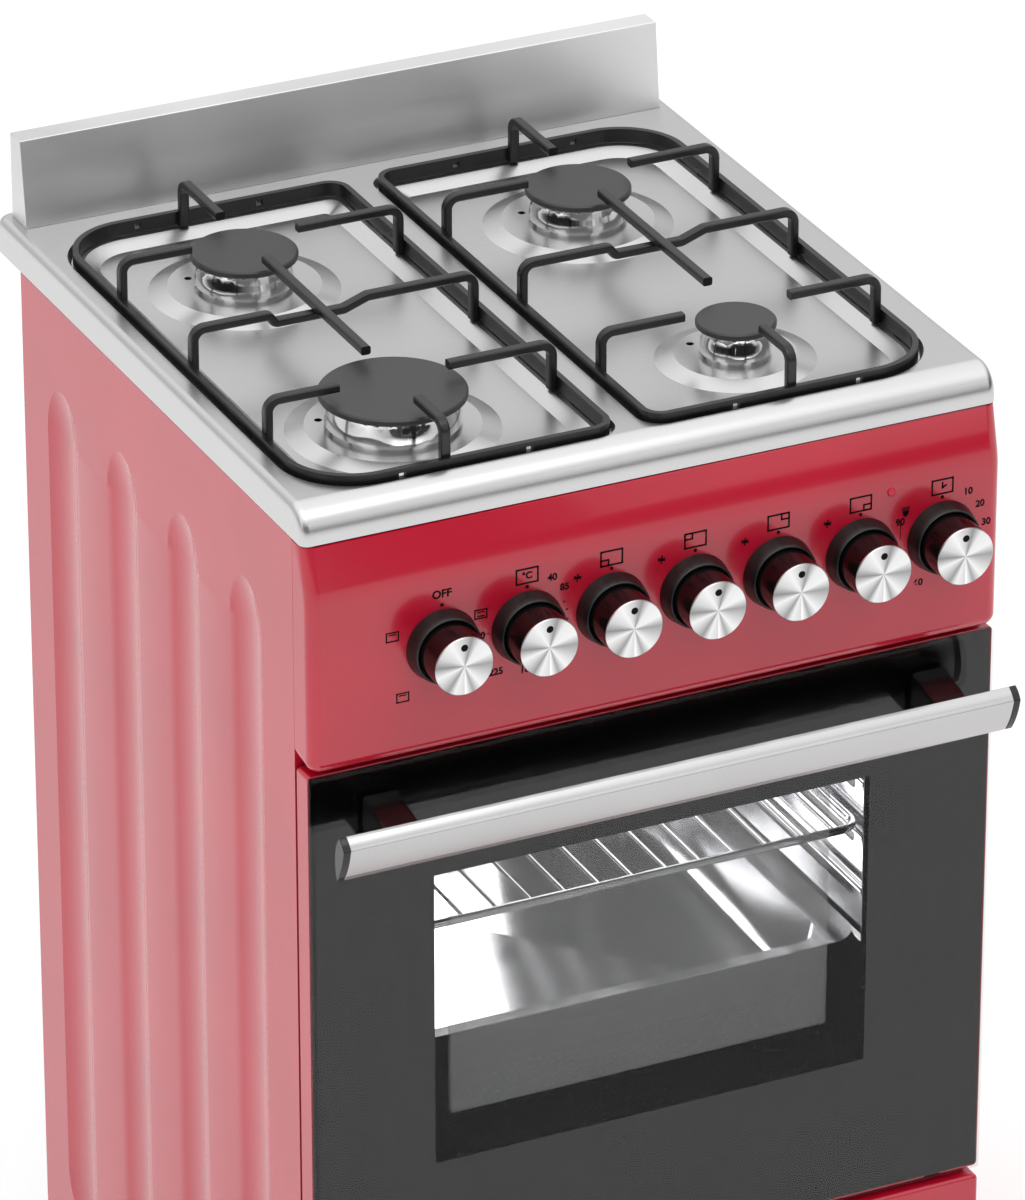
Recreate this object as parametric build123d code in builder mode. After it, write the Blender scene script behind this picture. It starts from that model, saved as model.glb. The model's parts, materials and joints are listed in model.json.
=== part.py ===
from build123d import *
import os
from math import atan2, cos, degrees, pi, radians

os.makedirs("parts", exist_ok=True)

# Freestanding gas range, millimetres. X runs across it, the front faces -Y, Z is up.
# The origin is on the floor, under the middle of the overall box.

# ---- Overall sizes ----
width = 500.0               # across the side panels and the hob
depth = 563.0               # front of the door handle to the back of the hob
handle_reach = 41.0         # door handle in front of the control panel

# ---- Heights, stacked from the floor to the hob's flat ----
foot_height = 40.0          # floor to the bottom of the side panels
plinth_height = 22.0        # open strip under the drawer
drawer_front_height = 178.0
drawer_gap = 6.0            # between the drawer front and the door
door_height = 416.0
door_gap = 1.5              # between the door and the control panel
panel_height = 161.0        # control panel
hob_gap = 1.0               # between the control panel and the hob
hob_edge = 24.5             # height of the hob's rim

# ---- Sheet metal and clearances ----
sheet = 1.0                 # cabinet sheet
hob_sheet = 1.2
fit_gap = 0.3               # between pieces that sit beside each other
run_gap = 0.1               # radial, between a shaft and its bore

# ---- Cabinet ----
panel_side_depth = 26.0     # control panel's front to the side panels
hob_overhang = 47.0         # hob past the back of the side panels
side_flange = 14.0
flute_count = 4
flute_pitch = 101.6
flute_shift = 3.7           # flutes stand a little behind the middle
flute_width = 53.0
flute_depth = 3.5
flute_end = 37.0            # length over which a flute runs out
flute_top_drop = 62.0       # below the hob's rim
flute_bottom_rise = 70.0    # above the bottom of the side panel
vent_count = 9
vent_length = 70.0
vent_height = 5.0
vent_pitch = 14.0
foot_radius = 18.0
foot_pad = 12.0
foot_stem_radius = 4.0
foot_inset = 38.0
base_floor_rise = 6.0       # base tray's floor above the bottom of the side panels
base_wall = 24.0
rail_width = 10.0
rail_height = 22.0

# ---- Hob ----
nose_setback = 10.0         # hob's nose behind the control panel's front
nose_radius = 20.0
rim_radius = 6.0
hob_corner = 12.0
ledge_drop = 5.5            # where the grates stand
floor_drop = 10.0           # floor of the pressing
burner_rise = 4.0           # round seats above that floor
burner_skirt = 13.0
splash_inset = 10.0         # inside the hob's sides
splash_height = 62.0
splash_thickness = 17.0
splash_lean = 7.4           # how far the front face leans back
splash_setback = 10.0       # behind it, to the hob's back edge

# ---- Burners, as distances from the centre line and from the hob's nose ----
burner_left = -137.0
burner_right = 111.5
burner_front = 107.0
burner_rear = 344.5
burner_sizes = {            # cap diameter, head diameter, seat diameter
    "front_left": (98.0, 90.0, 116.0),
    "rear_left": (73.0, 67.0, 104.0),
    "rear_right": (73.0, 67.0, 105.0),
    "front_right": (54.0, 48.0, 82.0),
}
head_height = 20.0          # from the seat to the cap
cap_thickness = 5.0
head_wall = 4.0
head_foot = 3.0
port_width = 1.8
port_height = 2.2
port_spacing = 9.0
electrode_radius = 2.4
electrode_notch = 5.5
electrode_side = 5.0        # inside the head's edge
electrode_back = 10.0
screw_hole_back = 25.0
screw_hole_side = 3.0
screw_hole_radius = 2.6
cup_flange = 8.0
cup_drop = 33.0             # depth of the injector cup under the seat

# ---- Pan supports ----
grate_width = 215.5
grate_length = 431.0
grate_left_x = -124.5
grate_right_x = 114.0
grate_front = 22.0          # behind the hob's nose
grate_strip = 4.0
grate_strip_height = 10.0
grate_outer_corner = 48.0
grate_inner_corner = 15.0
grate_pad = 1.0
grate_margin = 1.0          # frame to the wall of the pressing
bar_width = 7.0
bar_height = 6.0
bar_bend = 8.0
bar_round = 1.6
bar_sink = 0.5              # weld depth of a bar in the frame
grate_height = 36.5         # ledge to the top of the bars
tip_gap = 39.0              # burner axis to the tip of a finger
crossbar_y = 226.0          # behind the hob's nose
long_bar_length = 159.0
dip_near = (31.0, 35.0)     # left of the burner axis: the dip's floor, then its top
dip_far = (19.0, 36.0)      # right of the burner axis

# ---- Control panel and knobs ----
panel_slant = 9.0           # upper edge behind the front plane
panel_slant_height = 36.0
panel_bend = 60.0
panel_round = 9.0
panel_sheet = 1.2
knob_count = 7
knob_pitch = 60.4
knob_row_shift = 24.0       # middle knob, right of the centre line
knob_drop = 83.0            # below the control panel's top
knob_radius = 20.5
knob_front = 34.0           # knob face in front of the panel
knob_back = 5.0
knob_wall = 2.5
knob_hub = 6.5
face_thickness = 1.2
bezel_gap = 0.8
bezel_wall = 4.2            # at the panel
bezel_front_wall = 1.7      # at the ring's front
bezel_depth = 12.0
stem_radius = 3.0
stem_flat = 1.0
stem_hole = 5.0
lamp_x = 167.2
lamp_drop = 43.0
lamp_radius = 3.0
lamp_stand = 1.5

# ---- Gas ----
tap_radius = 11.0
tap_length = 52.0
plug_radius = 6.0
plug_start = 16.0           # behind the panel's front plane
plug_length = 24.0
pipe_radius = 8.0
pipe_setback = 46.0
pipe_drop = 20.0            # below the knob axis
pipe_left = -62.0
pipe_right_inset = 35.0     # inside the right side panel
pipe_bend = 30.0
saddle = 24.0
inlet_radius = 10.48        # outside of the half-inch gas thread
inlet_length = 16.0
inlet_bore = 6.0
inlet_reach = 40.0          # behind the side panels' rear edge
tube_radius = 3.0
tube_bend = 12.0
tube_steps = {"front": (17.0, 45.0), "rear": (32.0, 65.0)}   # behind the tap, below the hob's rim

# ---- Door ----
glass_front = 3.6           # behind the control panel's front plane
glass_thickness = 4.0
door_thickness = 21.4
door_side_gap = 0.5
window_width = 320.0
window_height = 217.4
window_drop = 92.8          # below the door's top
window_margin = 5.0
inner_glass_width = 280.0
inner_glass_height = 222.0
inner_glass_drop = 64.5
inner_glass_gap = 1.0
handle_inset = 4.0          # inside the range's sides
handle_cap = 5.0
handle_drop = 24.5          # below the door's top
bracket_x = 200.0
bracket_width = 25.0
bracket_height = 28.0
hinge_x = 215.0
hinge_back = 12.0           # hinge axis behind the control panel's front plane
hinge_rise = 6.0            # above the door's bottom
hinge_plate = 3.0
hinge_eye = 4.0
hinge_pin_radius = 2.5
hinge_cheek = 2.0
hinge_cheek_height = 70.0
hinge_slot = 12.0

# ---- Oven ----
frame_setback = 31.0        # oven's front frame behind the control panel's front plane
frame_sheet = 1.2
mouth_bottom_rise = 54.0    # above the door's bottom
mouth_top_drop = 52.0       # below the door's top
mouth_corner = 20.0
cavity_width = 380.0
cavity_depth = 398.0
cavity_wall = 1.5
seal_width = 7.0
insulation = 24.0
heater_radius = 3.25
heater_space = 14.0         # under the oven floor, for the lower heater
heater_drop = 15.0          # below the oven ceiling
oven_lamp_radius = 22.0
oven_lamp_body = 14.0
rack_sheet = 1.2
rack_ledge = 7.0
rack_level_count = 4
rack_pitch = 41.0
first_level = 113.0         # lowest ledge above the oven floor
shelf_side_gap = 4.0        # shelf or tray to the oven's side wall
shelf_depth = 335.0
shelf_setback = 30.0        # behind the oven's front frame
shelf_frame_radius = 3.0
shelf_wire_radius = 1.5
shelf_wire_margin = 20.0    # outermost wire to the frame's outside, at least
shelf_wire_pitch = 25.1
shelf_level = 2
tray_level = 0
tray_rim = 23.0
tray_depth = 40.0
tray_sheet = 1.0
tray_corner = 22.0

# ---- Drawer ----
drawer_front_thickness = 20.0
drawer_inset = 30.0         # drawer box inside the range's sides
drawer_box_height = 128.0
drawer_box_depth = 380.0
weld_gap = 0.05            # between sheets that are spot welded together

# ---- Planes and levels worked out from the above ----
shelf_width = cavity_width - 2 * shelf_side_gap
tray_basin = shelf_width - 2 * tray_rim
handle_length = width - 2 * handle_inset
splash_width = width - 2 * splash_inset
drawer_width = width - 2 * drawer_inset
shelf_wire_count = int((shelf_width - 2 * shelf_wire_margin) / shelf_wire_pitch) + 1
front_y = -depth / 2 + handle_reach
hob_back_y = depth / 2
side_front_y = front_y + panel_side_depth
side_back_y = hob_back_y - hob_overhang
nose_y = front_y + nose_setback
drawer_bottom_z = foot_height + plinth_height
drawer_top_z = drawer_bottom_z + drawer_front_height
door_bottom_z = drawer_top_z + drawer_gap
door_top_z = door_bottom_z + door_height
panel_bottom_z = door_top_z + door_gap
panel_top_z = panel_bottom_z + panel_height
rim_z = panel_top_z + hob_gap
hob_z = rim_z + hob_edge
ledge_z = hob_z - ledge_drop
floor_z = hob_z - floor_drop
seat_z = floor_z + burner_rise
knob_z = panel_top_z - knob_drop
frame_y = front_y + frame_setback
cavity_y = frame_y + frame_sheet
mouth_z0 = door_bottom_z + mouth_bottom_rise
mouth_z1 = door_top_z - mouth_top_drop
mouth_height = mouth_z1 - mouth_z0
mouth_mid_z = (mouth_z0 + mouth_z1) / 2
base_z = foot_height + base_floor_rise
door_back_y = front_y + glass_front + door_thickness

burner_places = {
    "front_left": (burner_left, nose_y + burner_front),
    "rear_left": (burner_left, nose_y + burner_rear),
    "rear_right": (burner_right, nose_y + burner_rear),
    "front_right": (burner_right, nose_y + burner_front),
}
knob_names = ["selector", "thermostat", "front_left", "rear_left", "rear_right", "front_right", "timer"]
knob_middle = (knob_count - 1) / 2
knob_places = {
    name: knob_row_shift + (place - knob_middle) * knob_pitch
    for place, name in enumerate(knob_names)
}


def front_plane(y):
    """Plane across the range at this y; its sketch axes are X and Z, and it faces the front."""
    return Plane(origin=(0, y, 0), x_dir=(1, 0, 0), z_dir=(0, -1, 0))


def block(x_range, y_range, z_range, mode=Mode.ADD):
    """Box between two limits on each axis."""
    ranges = (x_range, y_range, z_range)
    with Locations(tuple((low + high) / 2 for low, high in ranges)):
        Box(*(high - low for low, high in ranges), mode=mode)


def rod(start, end, radius, mode=Mode.ADD):
    """Round bar from one point to another."""
    line = Vector(*end) - Vector(*start)
    with BuildSketch(Plane(origin=start, z_dir=line)) as section:
        Circle(radius)
    extrude(section.sketch, amount=line.length, mode=mode)


def save(builder, name):
    """Label a finished piece and write it."""
    builder.part.label = name
    export_step(builder.part, f"parts/{name}.step")


# ======== Cabinet ========

# Side panel: one folded sheet with four pressed vertical flutes.
left_x = -width / 2
side_top_z = rim_z - fit_gap
flute_radius = (flute_width ** 2 / 4 + flute_depth ** 2) / (2 * flute_depth)
flute_end_radius = (flute_end ** 2 + flute_depth ** 2) / (2 * flute_depth)
flute_top_z = rim_z - flute_top_drop - flute_end
flute_bottom_z = foot_height + flute_bottom_rise + flute_end
flute_run_out = degrees(2 * flute_end / flute_end_radius)
side_middle_y = (side_front_y + side_back_y) / 2


def flute(y, growth, limit_x, mode):
    """Long shallow groove with run-out ends; growth moves its surface inwards by a sheet."""
    bow_x = left_x - flute_radius + flute_depth
    turn_x = left_x - flute_end_radius + flute_depth
    runs = (
        (flute_bottom_z, (0, 1, 0)),
        (flute_top_z, (0, -1, 0)),
    )
    for z, turn in runs:
        with BuildSketch(Plane.XY.offset(z)) as bow:
            with Locations((bow_x, y)):
                Circle(flute_radius + growth)
            with Locations((limit_x + flute_width, y)):
                Rectangle(2 * flute_width, 2 * flute_width, mode=Mode.INTERSECT)
        revolve(bow.sketch, axis=Axis((turn_x, y, z), turn), revolution_arc=flute_run_out, mode=mode)
        if z == flute_bottom_z:
            extrude(bow.sketch, amount=flute_top_z - flute_bottom_z, mode=mode)


flute_places = [
    side_middle_y + flute_shift + (number - (flute_count - 1) / 2) * flute_pitch
    for number in range(flute_count)
]
with BuildPart() as side_panel_left:
    block((left_x, left_x + sheet), (side_front_y, side_back_y), (foot_height, side_top_z))
    block((left_x, left_x + side_flange), (side_front_y, side_front_y + sheet), (foot_height, side_top_z))
    block((left_x, left_x + side_flange), (side_back_y - sheet, side_back_y), (foot_height, side_top_z))
    block((left_x, left_x + side_flange), (side_front_y, side_back_y), (side_top_z - sheet, side_top_z))
    for flute_y in flute_places:
        flute(flute_y, sheet, left_x + sheet / 2, Mode.ADD)
    outer_x = left_x - flute_width
    block((outer_x, left_x), (side_front_y, side_back_y), (foot_height, side_top_z), Mode.SUBTRACT)
    for flute_y in flute_places:
        flute(flute_y, 0, left_x - sheet, Mode.SUBTRACT)
save(side_panel_left, "side_panel_left")

with BuildPart() as side_panel_right:
    mirror(side_panel_left.part, about=Plane.YZ)
save(side_panel_right, "side_panel_right")

# Gas inlet's line along the right side, needed by the back panel's hole.
pipe_y = front_y + pipe_setback
pipe_z = knob_z - pipe_drop
inlet_x = width / 2 - pipe_right_inset

# Back panel with vent slots and a hole for the gas inlet.
back_x = width / 2 - sheet - fit_gap
back_z0 = base_z + base_wall
back_z1 = side_top_z - sheet - fit_gap
with BuildPart() as back_panel:
    back_face_y = side_back_y - sheet - fit_gap
    block((-back_x, back_x), (back_face_y - sheet, back_face_y), (back_z0, back_z1))
    with BuildSketch(front_plane(back_face_y)):
        with Locations((0, back_z1 - 60)):
            with GridLocations(vent_length * 1.6, vent_pitch, 3, vent_count // 3):
                SlotOverall(vent_length, vent_height)
        with Locations((0, back_z0 + 60)):
            with GridLocations(vent_length * 1.6, vent_pitch, 3, vent_count // 3):
                SlotOverall(vent_length, vent_height)
        with Locations((inlet_x, pipe_z)):
            Circle(pipe_radius + 2)
    extrude(amount=sheet, mode=Mode.SUBTRACT)
save(back_panel, "back_panel")

# Base tray with the drawer's two rails and four foot bosses.
base_x = width / 2 - sheet - fit_gap
base_y0 = side_front_y + sheet + fit_gap
base_y1 = back_face_y - sheet - fit_gap
rail_x = drawer_width / 2
rail_top_z = base_z + rail_height
foot_places = [
    (x, y)
    for x in (-base_x + foot_inset, base_x - foot_inset)
    for y in (base_y0 + foot_inset, base_y1 - foot_inset)
]
with BuildPart() as base_frame:
    block((-base_x, base_x), (base_y0, base_y1), (base_z, base_z + sheet))
    for x in (-base_x, base_x - sheet):
        block((x, x + sheet), (base_y0, base_y1), (base_z, base_z + base_wall))
    block((-base_x, base_x), (base_y1 - sheet, base_y1), (base_z, base_z + base_wall))
    block((-base_x, base_x), (base_y0, base_y0 + sheet), (base_z, drawer_bottom_z - fit_gap))
    for side in (-1, 1):
        rail_outer = side * (rail_x + rail_width)
        rail_x0, rail_x1 = sorted((side * (rail_x - rail_width), rail_outer))
        block((rail_x0, rail_x1), (base_y0, base_y1), (rail_top_z - sheet, rail_top_z))
        guide_x0, guide_x1 = sorted((side * (rail_x + fit_gap), side * (rail_x + fit_gap + sheet)))
        block((guide_x0, guide_x1), (base_y0, base_y1), (base_z, rail_top_z + rail_width))
    for x, y in foot_places:
        with Locations((x, y, base_z + sheet + 3)):
            Cylinder(foot_stem_radius * 2, 6)
save(base_frame, "base_frame")

with BuildPart() as feet:
    for x, y in foot_places:
        rod((x, y, 0), (x, y, foot_pad), foot_radius)
    fillet(feet.edges().filter_by(GeomType.CIRCLE).group_by(Axis.Z)[-1], radius=4)
    fillet(feet.edges().filter_by(GeomType.CIRCLE).group_by(Axis.Z)[0], radius=1)
    for x, y in foot_places:
        rod((x, y, foot_pad), (x, y, base_z), foot_stem_radius)
save(feet, "feet")

# ======== Oven ========

with BuildPart() as front_frame:
    frame_x = width / 2 - sheet - fit_gap
    frame_z0 = drawer_top_z + fit_gap
    frame_z1 = panel_bottom_z
    with BuildSketch(front_plane(frame_y + frame_sheet)):
        with Locations((0, (frame_z0 + frame_z1) / 2)):
            Rectangle(2 * frame_x, frame_z1 - frame_z0)
        with Locations((0, mouth_mid_z)):
            RectangleRounded(cavity_width, mouth_height, mouth_corner, mode=Mode.SUBTRACT)
    extrude(amount=frame_sheet)
    for x in (-frame_x, frame_x - frame_sheet):
        block((x, x + frame_sheet), (frame_y, frame_y + side_flange), (frame_z0, frame_z1))
    block((-frame_x, frame_x), (frame_y, frame_y + side_flange), (frame_z1 - frame_sheet, frame_z1))
save(front_frame, "front_frame")

# Enamelled oven box: a rounded tube closed at the back, with a flange behind the front frame.
cavity_back_y = cavity_y + cavity_depth
lamp_place = (-cavity_width / 2 + 60, mouth_z1 - 55)
with BuildPart() as oven_cavity:
    with BuildSketch(front_plane(cavity_back_y + cavity_wall)):
        with Locations((0, mouth_mid_z)):
            RectangleRounded(
                cavity_width + 2 * cavity_wall, mouth_height + 2 * cavity_wall, mouth_corner + cavity_wall
            )
    extrude(amount=cavity_depth + cavity_wall)
    with BuildSketch(front_plane(cavity_y + cavity_wall)):
        with Locations((0, mouth_mid_z)):
            RectangleRounded(cavity_width + 24, mouth_height + 24, mouth_corner + 12)
    extrude(amount=cavity_wall)
    with BuildSketch(front_plane(cavity_back_y)):
        with Locations((0, mouth_mid_z)):
            RectangleRounded(cavity_width, mouth_height, mouth_corner)
    extrude(amount=cavity_depth, mode=Mode.SUBTRACT)
    # embossed panels in the floor and the back wall
    block(
        (-cavity_width / 2 + 45, cavity_width / 2 - 45),
        (cavity_y + 60, cavity_back_y - 60),
        (mouth_z0, mouth_z0 + 2),
    )
    with BuildSketch(front_plane(cavity_back_y)):
        with Locations((0, mouth_mid_z)):
            RectangleRounded(cavity_width - 120, mouth_height - 150, 12)
    extrude(amount=3)
    with BuildSketch(front_plane(cavity_back_y + cavity_wall)):
        with Locations(lamp_place):
            Circle(oven_lamp_body + fit_gap)
    extrude(amount=cavity_wall, mode=Mode.SUBTRACT)
    # two holes for the upper heater's ends
    for x in (-40, 40):
        start = (x, cavity_back_y, mouth_z1 - heater_drop)
        end = (x, cavity_back_y + cavity_wall, mouth_z1 - heater_drop)
        rod(start, end, heater_radius + fit_gap, Mode.SUBTRACT)
save(oven_cavity, "oven_cavity")

# Glass wool round the box, open at the front, with room for the lower heater under the floor.
wool_x = cavity_width / 2 + cavity_wall + fit_gap
wool_front_y = cavity_y + cavity_wall + fit_gap
wool_back_y = cavity_back_y + cavity_wall + fit_gap
wool_z0 = mouth_z0 - cavity_wall - heater_space
wool_z1 = mouth_z1 + cavity_wall + fit_gap
with BuildPart() as oven_insulation:
    block(
        (-wool_x - insulation, wool_x + insulation),
        (wool_front_y, wool_back_y + insulation),
        (wool_z0 - insulation, wool_z1 + insulation),
    )
    block((-wool_x, wool_x), (wool_front_y, wool_back_y), (wool_z0, wool_z1), Mode.SUBTRACT)
    lamp_start = (lamp_place[0], wool_back_y, lamp_place[1])
    lamp_end = (lamp_place[0], wool_back_y + insulation, lamp_place[1])
    rod(lamp_start, lamp_end, oven_lamp_body + fit_gap, Mode.SUBTRACT)
    for x in (-40, 40):
        for z in (mouth_z1 - heater_drop,):
            rod((x, wool_back_y, z), (x, wool_back_y + insulation, z), heater_radius + fit_gap, Mode.SUBTRACT)
save(oven_insulation, "oven_insulation")

# Rubber rope seal round the mouth, between the frame and the door.
with BuildPart() as door_seal:
    with BuildSketch(front_plane(frame_y)):
        with Locations((0, mouth_mid_z)):
            RectangleRounded(
                cavity_width + 6 + 2 * seal_width, mouth_height + 6 + 2 * seal_width, mouth_corner + seal_width
            )
            RectangleRounded(cavity_width + 6, mouth_height + 6, mouth_corner, mode=Mode.SUBTRACT)
    extrude(amount=frame_y - door_back_y - fit_gap)
    fillet(door_seal.faces().sort_by(Axis.Y)[0].edges(), radius=2)
save(door_seal, "door_seal")

# Tubular heaters: one loop under the ceiling, one under the floor.
heater_half = cavity_width / 2 - 40
heater_levels = ((mouth_z1 - heater_drop, wool_back_y + insulation), (wool_z0 + heater_space / 2, cavity_back_y))
with BuildPart() as oven_heaters:
    for heater_z, end_y in heater_levels:
        with BuildLine():
            FilletPolyline(
                (-40, end_y, heater_z),
                (-40, cavity_back_y - 50, heater_z),
                (-heater_half, cavity_back_y - 50, heater_z),
                (-heater_half, cavity_y + 60, heater_z),
                (heater_half, cavity_y + 60, heater_z),
                (heater_half, cavity_back_y - 50, heater_z),
                (40, cavity_back_y - 50, heater_z),
                (40, end_y, heater_z),
                radius=22,
            )
        with BuildSketch(Plane(origin=(-40, end_y, heater_z), z_dir=(0, -1, 0))):
            Circle(heater_radius)
        sweep()
    # feet that hold the lower loop up to the oven floor, and the upper one to the ceiling
    for x in (-heater_half + 60, heater_half - 60):
        lower_z = wool_z0 + heater_space / 2
        block((x, x + 10), (cavity_y + 58, cavity_y + 62), (lower_z, mouth_z0 - cavity_wall - 0.05))
        upper_z = mouth_z1 - heater_drop
        block((x, x + 10), (cavity_y + 58, cavity_y + 62), (upper_z, mouth_z1 - 0.05))
save(oven_heaters, "oven_heaters")

# Oven lamp: glass dome inside, ceramic holder through the back wall.
with BuildPart() as oven_lamp:
    with BuildSketch(front_plane(cavity_back_y)):
        with Locations(lamp_place):
            Circle(oven_lamp_radius)
    extrude(amount=12)
    fillet(oven_lamp.faces().sort_by(Axis.Y)[0].edges(), radius=8)
    holder_start = (lamp_place[0], cavity_back_y, lamp_place[1])
    holder_end = (lamp_place[0], wool_back_y + insulation, lamp_place[1])
    rod(holder_start, holder_end, oven_lamp_body)
save(oven_lamp, "oven_lamp")

# Pressed racks on both side walls: a ledge for each level and a slot under it.
rack_z0 = mouth_z0 + first_level - 22
rack_z1 = mouth_z0 + first_level + (rack_level_count - 1) * rack_pitch + 24
rack_y0 = cavity_y + 14
rack_y1 = cavity_back_y - 20
level_heights = [mouth_z0 + first_level + level * rack_pitch for level in range(rack_level_count)]
with BuildPart() as side_racks:
    for side in (-1, 1):
        wall_x = side * cavity_width / 2
        plate_x = wall_x - side * rack_sheet
        ledge_x = plate_x - side * rack_ledge
        block(sorted((wall_x, plate_x)), (rack_y0, rack_y1), (rack_z0, rack_z1))
        for level_z in level_heights:
            block(sorted((plate_x, ledge_x)), (rack_y0 + 12, rack_y1 - 12), (level_z - 6, level_z))
    ledge_edges = side_racks.edges().filter_by(Axis.Y)
    inner_edges = [edge for edge in ledge_edges if abs(edge.center().X) < cavity_width / 2 - rack_sheet - 1]
    fillet(inner_edges, radius=2.5)
    for side in (-1, 1):
        for level_z in level_heights:
            with BuildSketch(Plane(origin=(0, (rack_y0 + rack_y1) / 2, level_z - 15), x_dir=(0, 1, 0), z_dir=(1, 0, 0))):
                SlotOverall(rack_y1 - rack_y0 - 70, 9)
            extrude(amount=side * cavity_width / 2, mode=Mode.SUBTRACT)
save(side_racks, "side_racks")

# Wire shelf: a bent rod frame with thin cross wires welded on it.
shelf_z = level_heights[shelf_level] + fit_gap + shelf_frame_radius
shelf_y0 = frame_y + shelf_setback + shelf_frame_radius
shelf_y1 = shelf_y0 + shelf_depth - 2 * shelf_frame_radius
shelf_x = shelf_width / 2 - shelf_frame_radius
with BuildPart() as wire_shelf:
    with BuildLine():
        FilletPolyline(
            (0, shelf_y0, shelf_z),
            (shelf_x, shelf_y0, shelf_z),
            (shelf_x, shelf_y1, shelf_z),
            (0, shelf_y1, shelf_z),
            radius=14,
        )
    with BuildSketch(Plane(origin=(0, shelf_y0, shelf_z), z_dir=(1, 0, 0))):
        Circle(shelf_frame_radius)
    sweep()
    mirror(about=Plane.YZ)
    for number in range(shelf_wire_count):
        wire_x = (number - (shelf_wire_count - 1) / 2) * shelf_wire_pitch
        wire_z = shelf_z + shelf_wire_radius
        rod((wire_x, shelf_y0, wire_z), (wire_x, shelf_y1, wire_z), shelf_wire_radius)
    rod((-shelf_x, (shelf_y0 + shelf_y1) / 2, shelf_z), (shelf_x, (shelf_y0 + shelf_y1) / 2, shelf_z), shelf_wire_radius)
save(wire_shelf, "wire_shelf")

# Baking tray: a pressed basin with a flat rim that runs on the racks.
tray_z = level_heights[tray_level] + fit_gap
tray_y0 = shelf_y0 - shelf_frame_radius
tray_mid_y = tray_y0 + shelf_depth / 2
with BuildPart() as baking_tray:
    with BuildSketch(Plane.XY.offset(tray_z)):
        with Locations((0, tray_mid_y)):
            RectangleRounded(shelf_width, shelf_depth, tray_corner)
    extrude(amount=tray_sheet)
    for shell, mode in ((tray_sheet, Mode.ADD), (0, Mode.SUBTRACT)):
        with BuildSketch(Plane.XY.offset(tray_z + tray_sheet)):
            with Locations((0, tray_mid_y)):
                RectangleRounded(tray_basin + 2 * shell, shelf_depth - 20 + 2 * shell, tray_corner + shell)
        with BuildSketch(Plane.XY.offset(tray_z + tray_sheet - tray_depth - shell)):
            with Locations((0, tray_mid_y)):
                RectangleRounded(tray_basin - 16 + 2 * shell, shelf_depth - 36 + 2 * shell, tray_corner - 6 + shell)
        loft(ruled=True, mode=mode)
save(baking_tray, "baking_tray")

# ======== Hob ========


def grate_outline(middle_x, growth):
    """Grate's plan with large outboard and small inboard corners, grown by an amount."""
    outboard = 0 if middle_x < 0 else -1
    inboard = -1 if middle_x < 0 else 0
    with BuildSketch(mode=Mode.PRIVATE) as outline:
        with Locations((middle_x, nose_y + grate_front + grate_length / 2)):
            Rectangle(grate_width + 2 * growth, grate_length + 2 * growth)
        corners = outline.vertices().group_by(Axis.X)
        fillet(corners[outboard], radius=max(grate_outer_corner + growth, 4))
        corners = outline.vertices().group_by(Axis.X)
        fillet(corners[inboard], radius=max(grate_inner_corner + growth, 4))
    return outline.sketch


pressing_steps = [          # outline growth and level, from the rim down to the floor
    (grate_margin + 2.5, hob_z),
    (grate_margin, ledge_z),
    (-grate_strip - 3.5, ledge_z),
    (-grate_strip - 14.5, floor_z),
]


def hob_form(skin):
    """Solid under the hob's skin: the outside when skin is 0, the hollow when it is the sheet."""
    side_x = width / 2 - skin
    with BuildPart() as form:
        block((-side_x, side_x), (nose_y + skin, hob_back_y - skin), (rim_z, hob_z - skin))
        top_edges = form.faces().sort_by(Axis.Z)[-1].edges()
        fillet(form.edges().filter_by(Axis.Z).group_by(Axis.Y)[-1], radius=hob_corner - skin)
        nose_edge = form.faces().sort_by(Axis.Y)[0].edges().sort_by(Axis.Z)[-1]
        fillet(nose_edge, radius=nose_radius - skin)
        side_faces = form.faces().filter_by(Axis.X)
        rim_edges = [edge for face in side_faces for edge in face.edges() if edge.center().Z > rim_z + 1]
        rim_edges = [edge for edge in rim_edges if edge.center().Y < hob_back_y - 2 * hob_corner]
        fillet(rim_edges, radius=rim_radius - skin)
        for middle_x in (grate_left_x, grate_right_x):
            for upper, lower in (pressing_steps[0:2], pressing_steps[2:4]):
                with BuildSketch(Plane.XY.offset(upper[1] - skin)):
                    add(grate_outline(middle_x, upper[0] + skin))
                with BuildSketch(Plane.XY.offset(lower[1] - skin)):
                    add(grate_outline(middle_x, lower[0] + skin))
                loft(ruled=True, mode=Mode.SUBTRACT)
        for name, (burner_x, burner_y) in burner_places.items():
            seat_radius = burner_sizes[name][2] / 2
            with Locations((burner_x, burner_y, (floor_z + seat_z) / 2 - skin)):
                Cone(seat_radius + burner_skirt, seat_radius, burner_rise)
    return form.part


def electrode_place(name):
    """Centre of a burner's spark electrode, behind and left of the burner's axis."""
    burner_x, burner_y = burner_places[name]
    return burner_x - burner_sizes[name][1] / 2 + electrode_side, burner_y + electrode_back


def throat_radius(name):
    """Radius of the burner's round hole in the hob."""
    return burner_sizes[name][1] / 2 - 13


hob_outside = hob_form(0)
hob_inside = hob_form(hob_sheet)
with BuildPart() as hob_top:
    add(hob_outside)
    add(hob_inside, mode=Mode.SUBTRACT)
    for name, (burner_x, burner_y) in burner_places.items():
        under_z = rim_z - 1
        spark_x, spark_y = electrode_place(name)
        hole_x = burner_x - burner_sizes[name][1] / 2 + screw_hole_side
        hole_y = burner_y + screw_hole_back
        rod((burner_x, burner_y, under_z), (burner_x, burner_y, hob_z), throat_radius(name), Mode.SUBTRACT)
        rod((spark_x, spark_y, under_z), (spark_x, spark_y, hob_z), electrode_radius + fit_gap, Mode.SUBTRACT)
        rod((hole_x, hole_y, under_z), (hole_x, hole_y, hob_z), screw_hole_radius, Mode.SUBTRACT)
save(hob_top, "hob_top")

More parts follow.
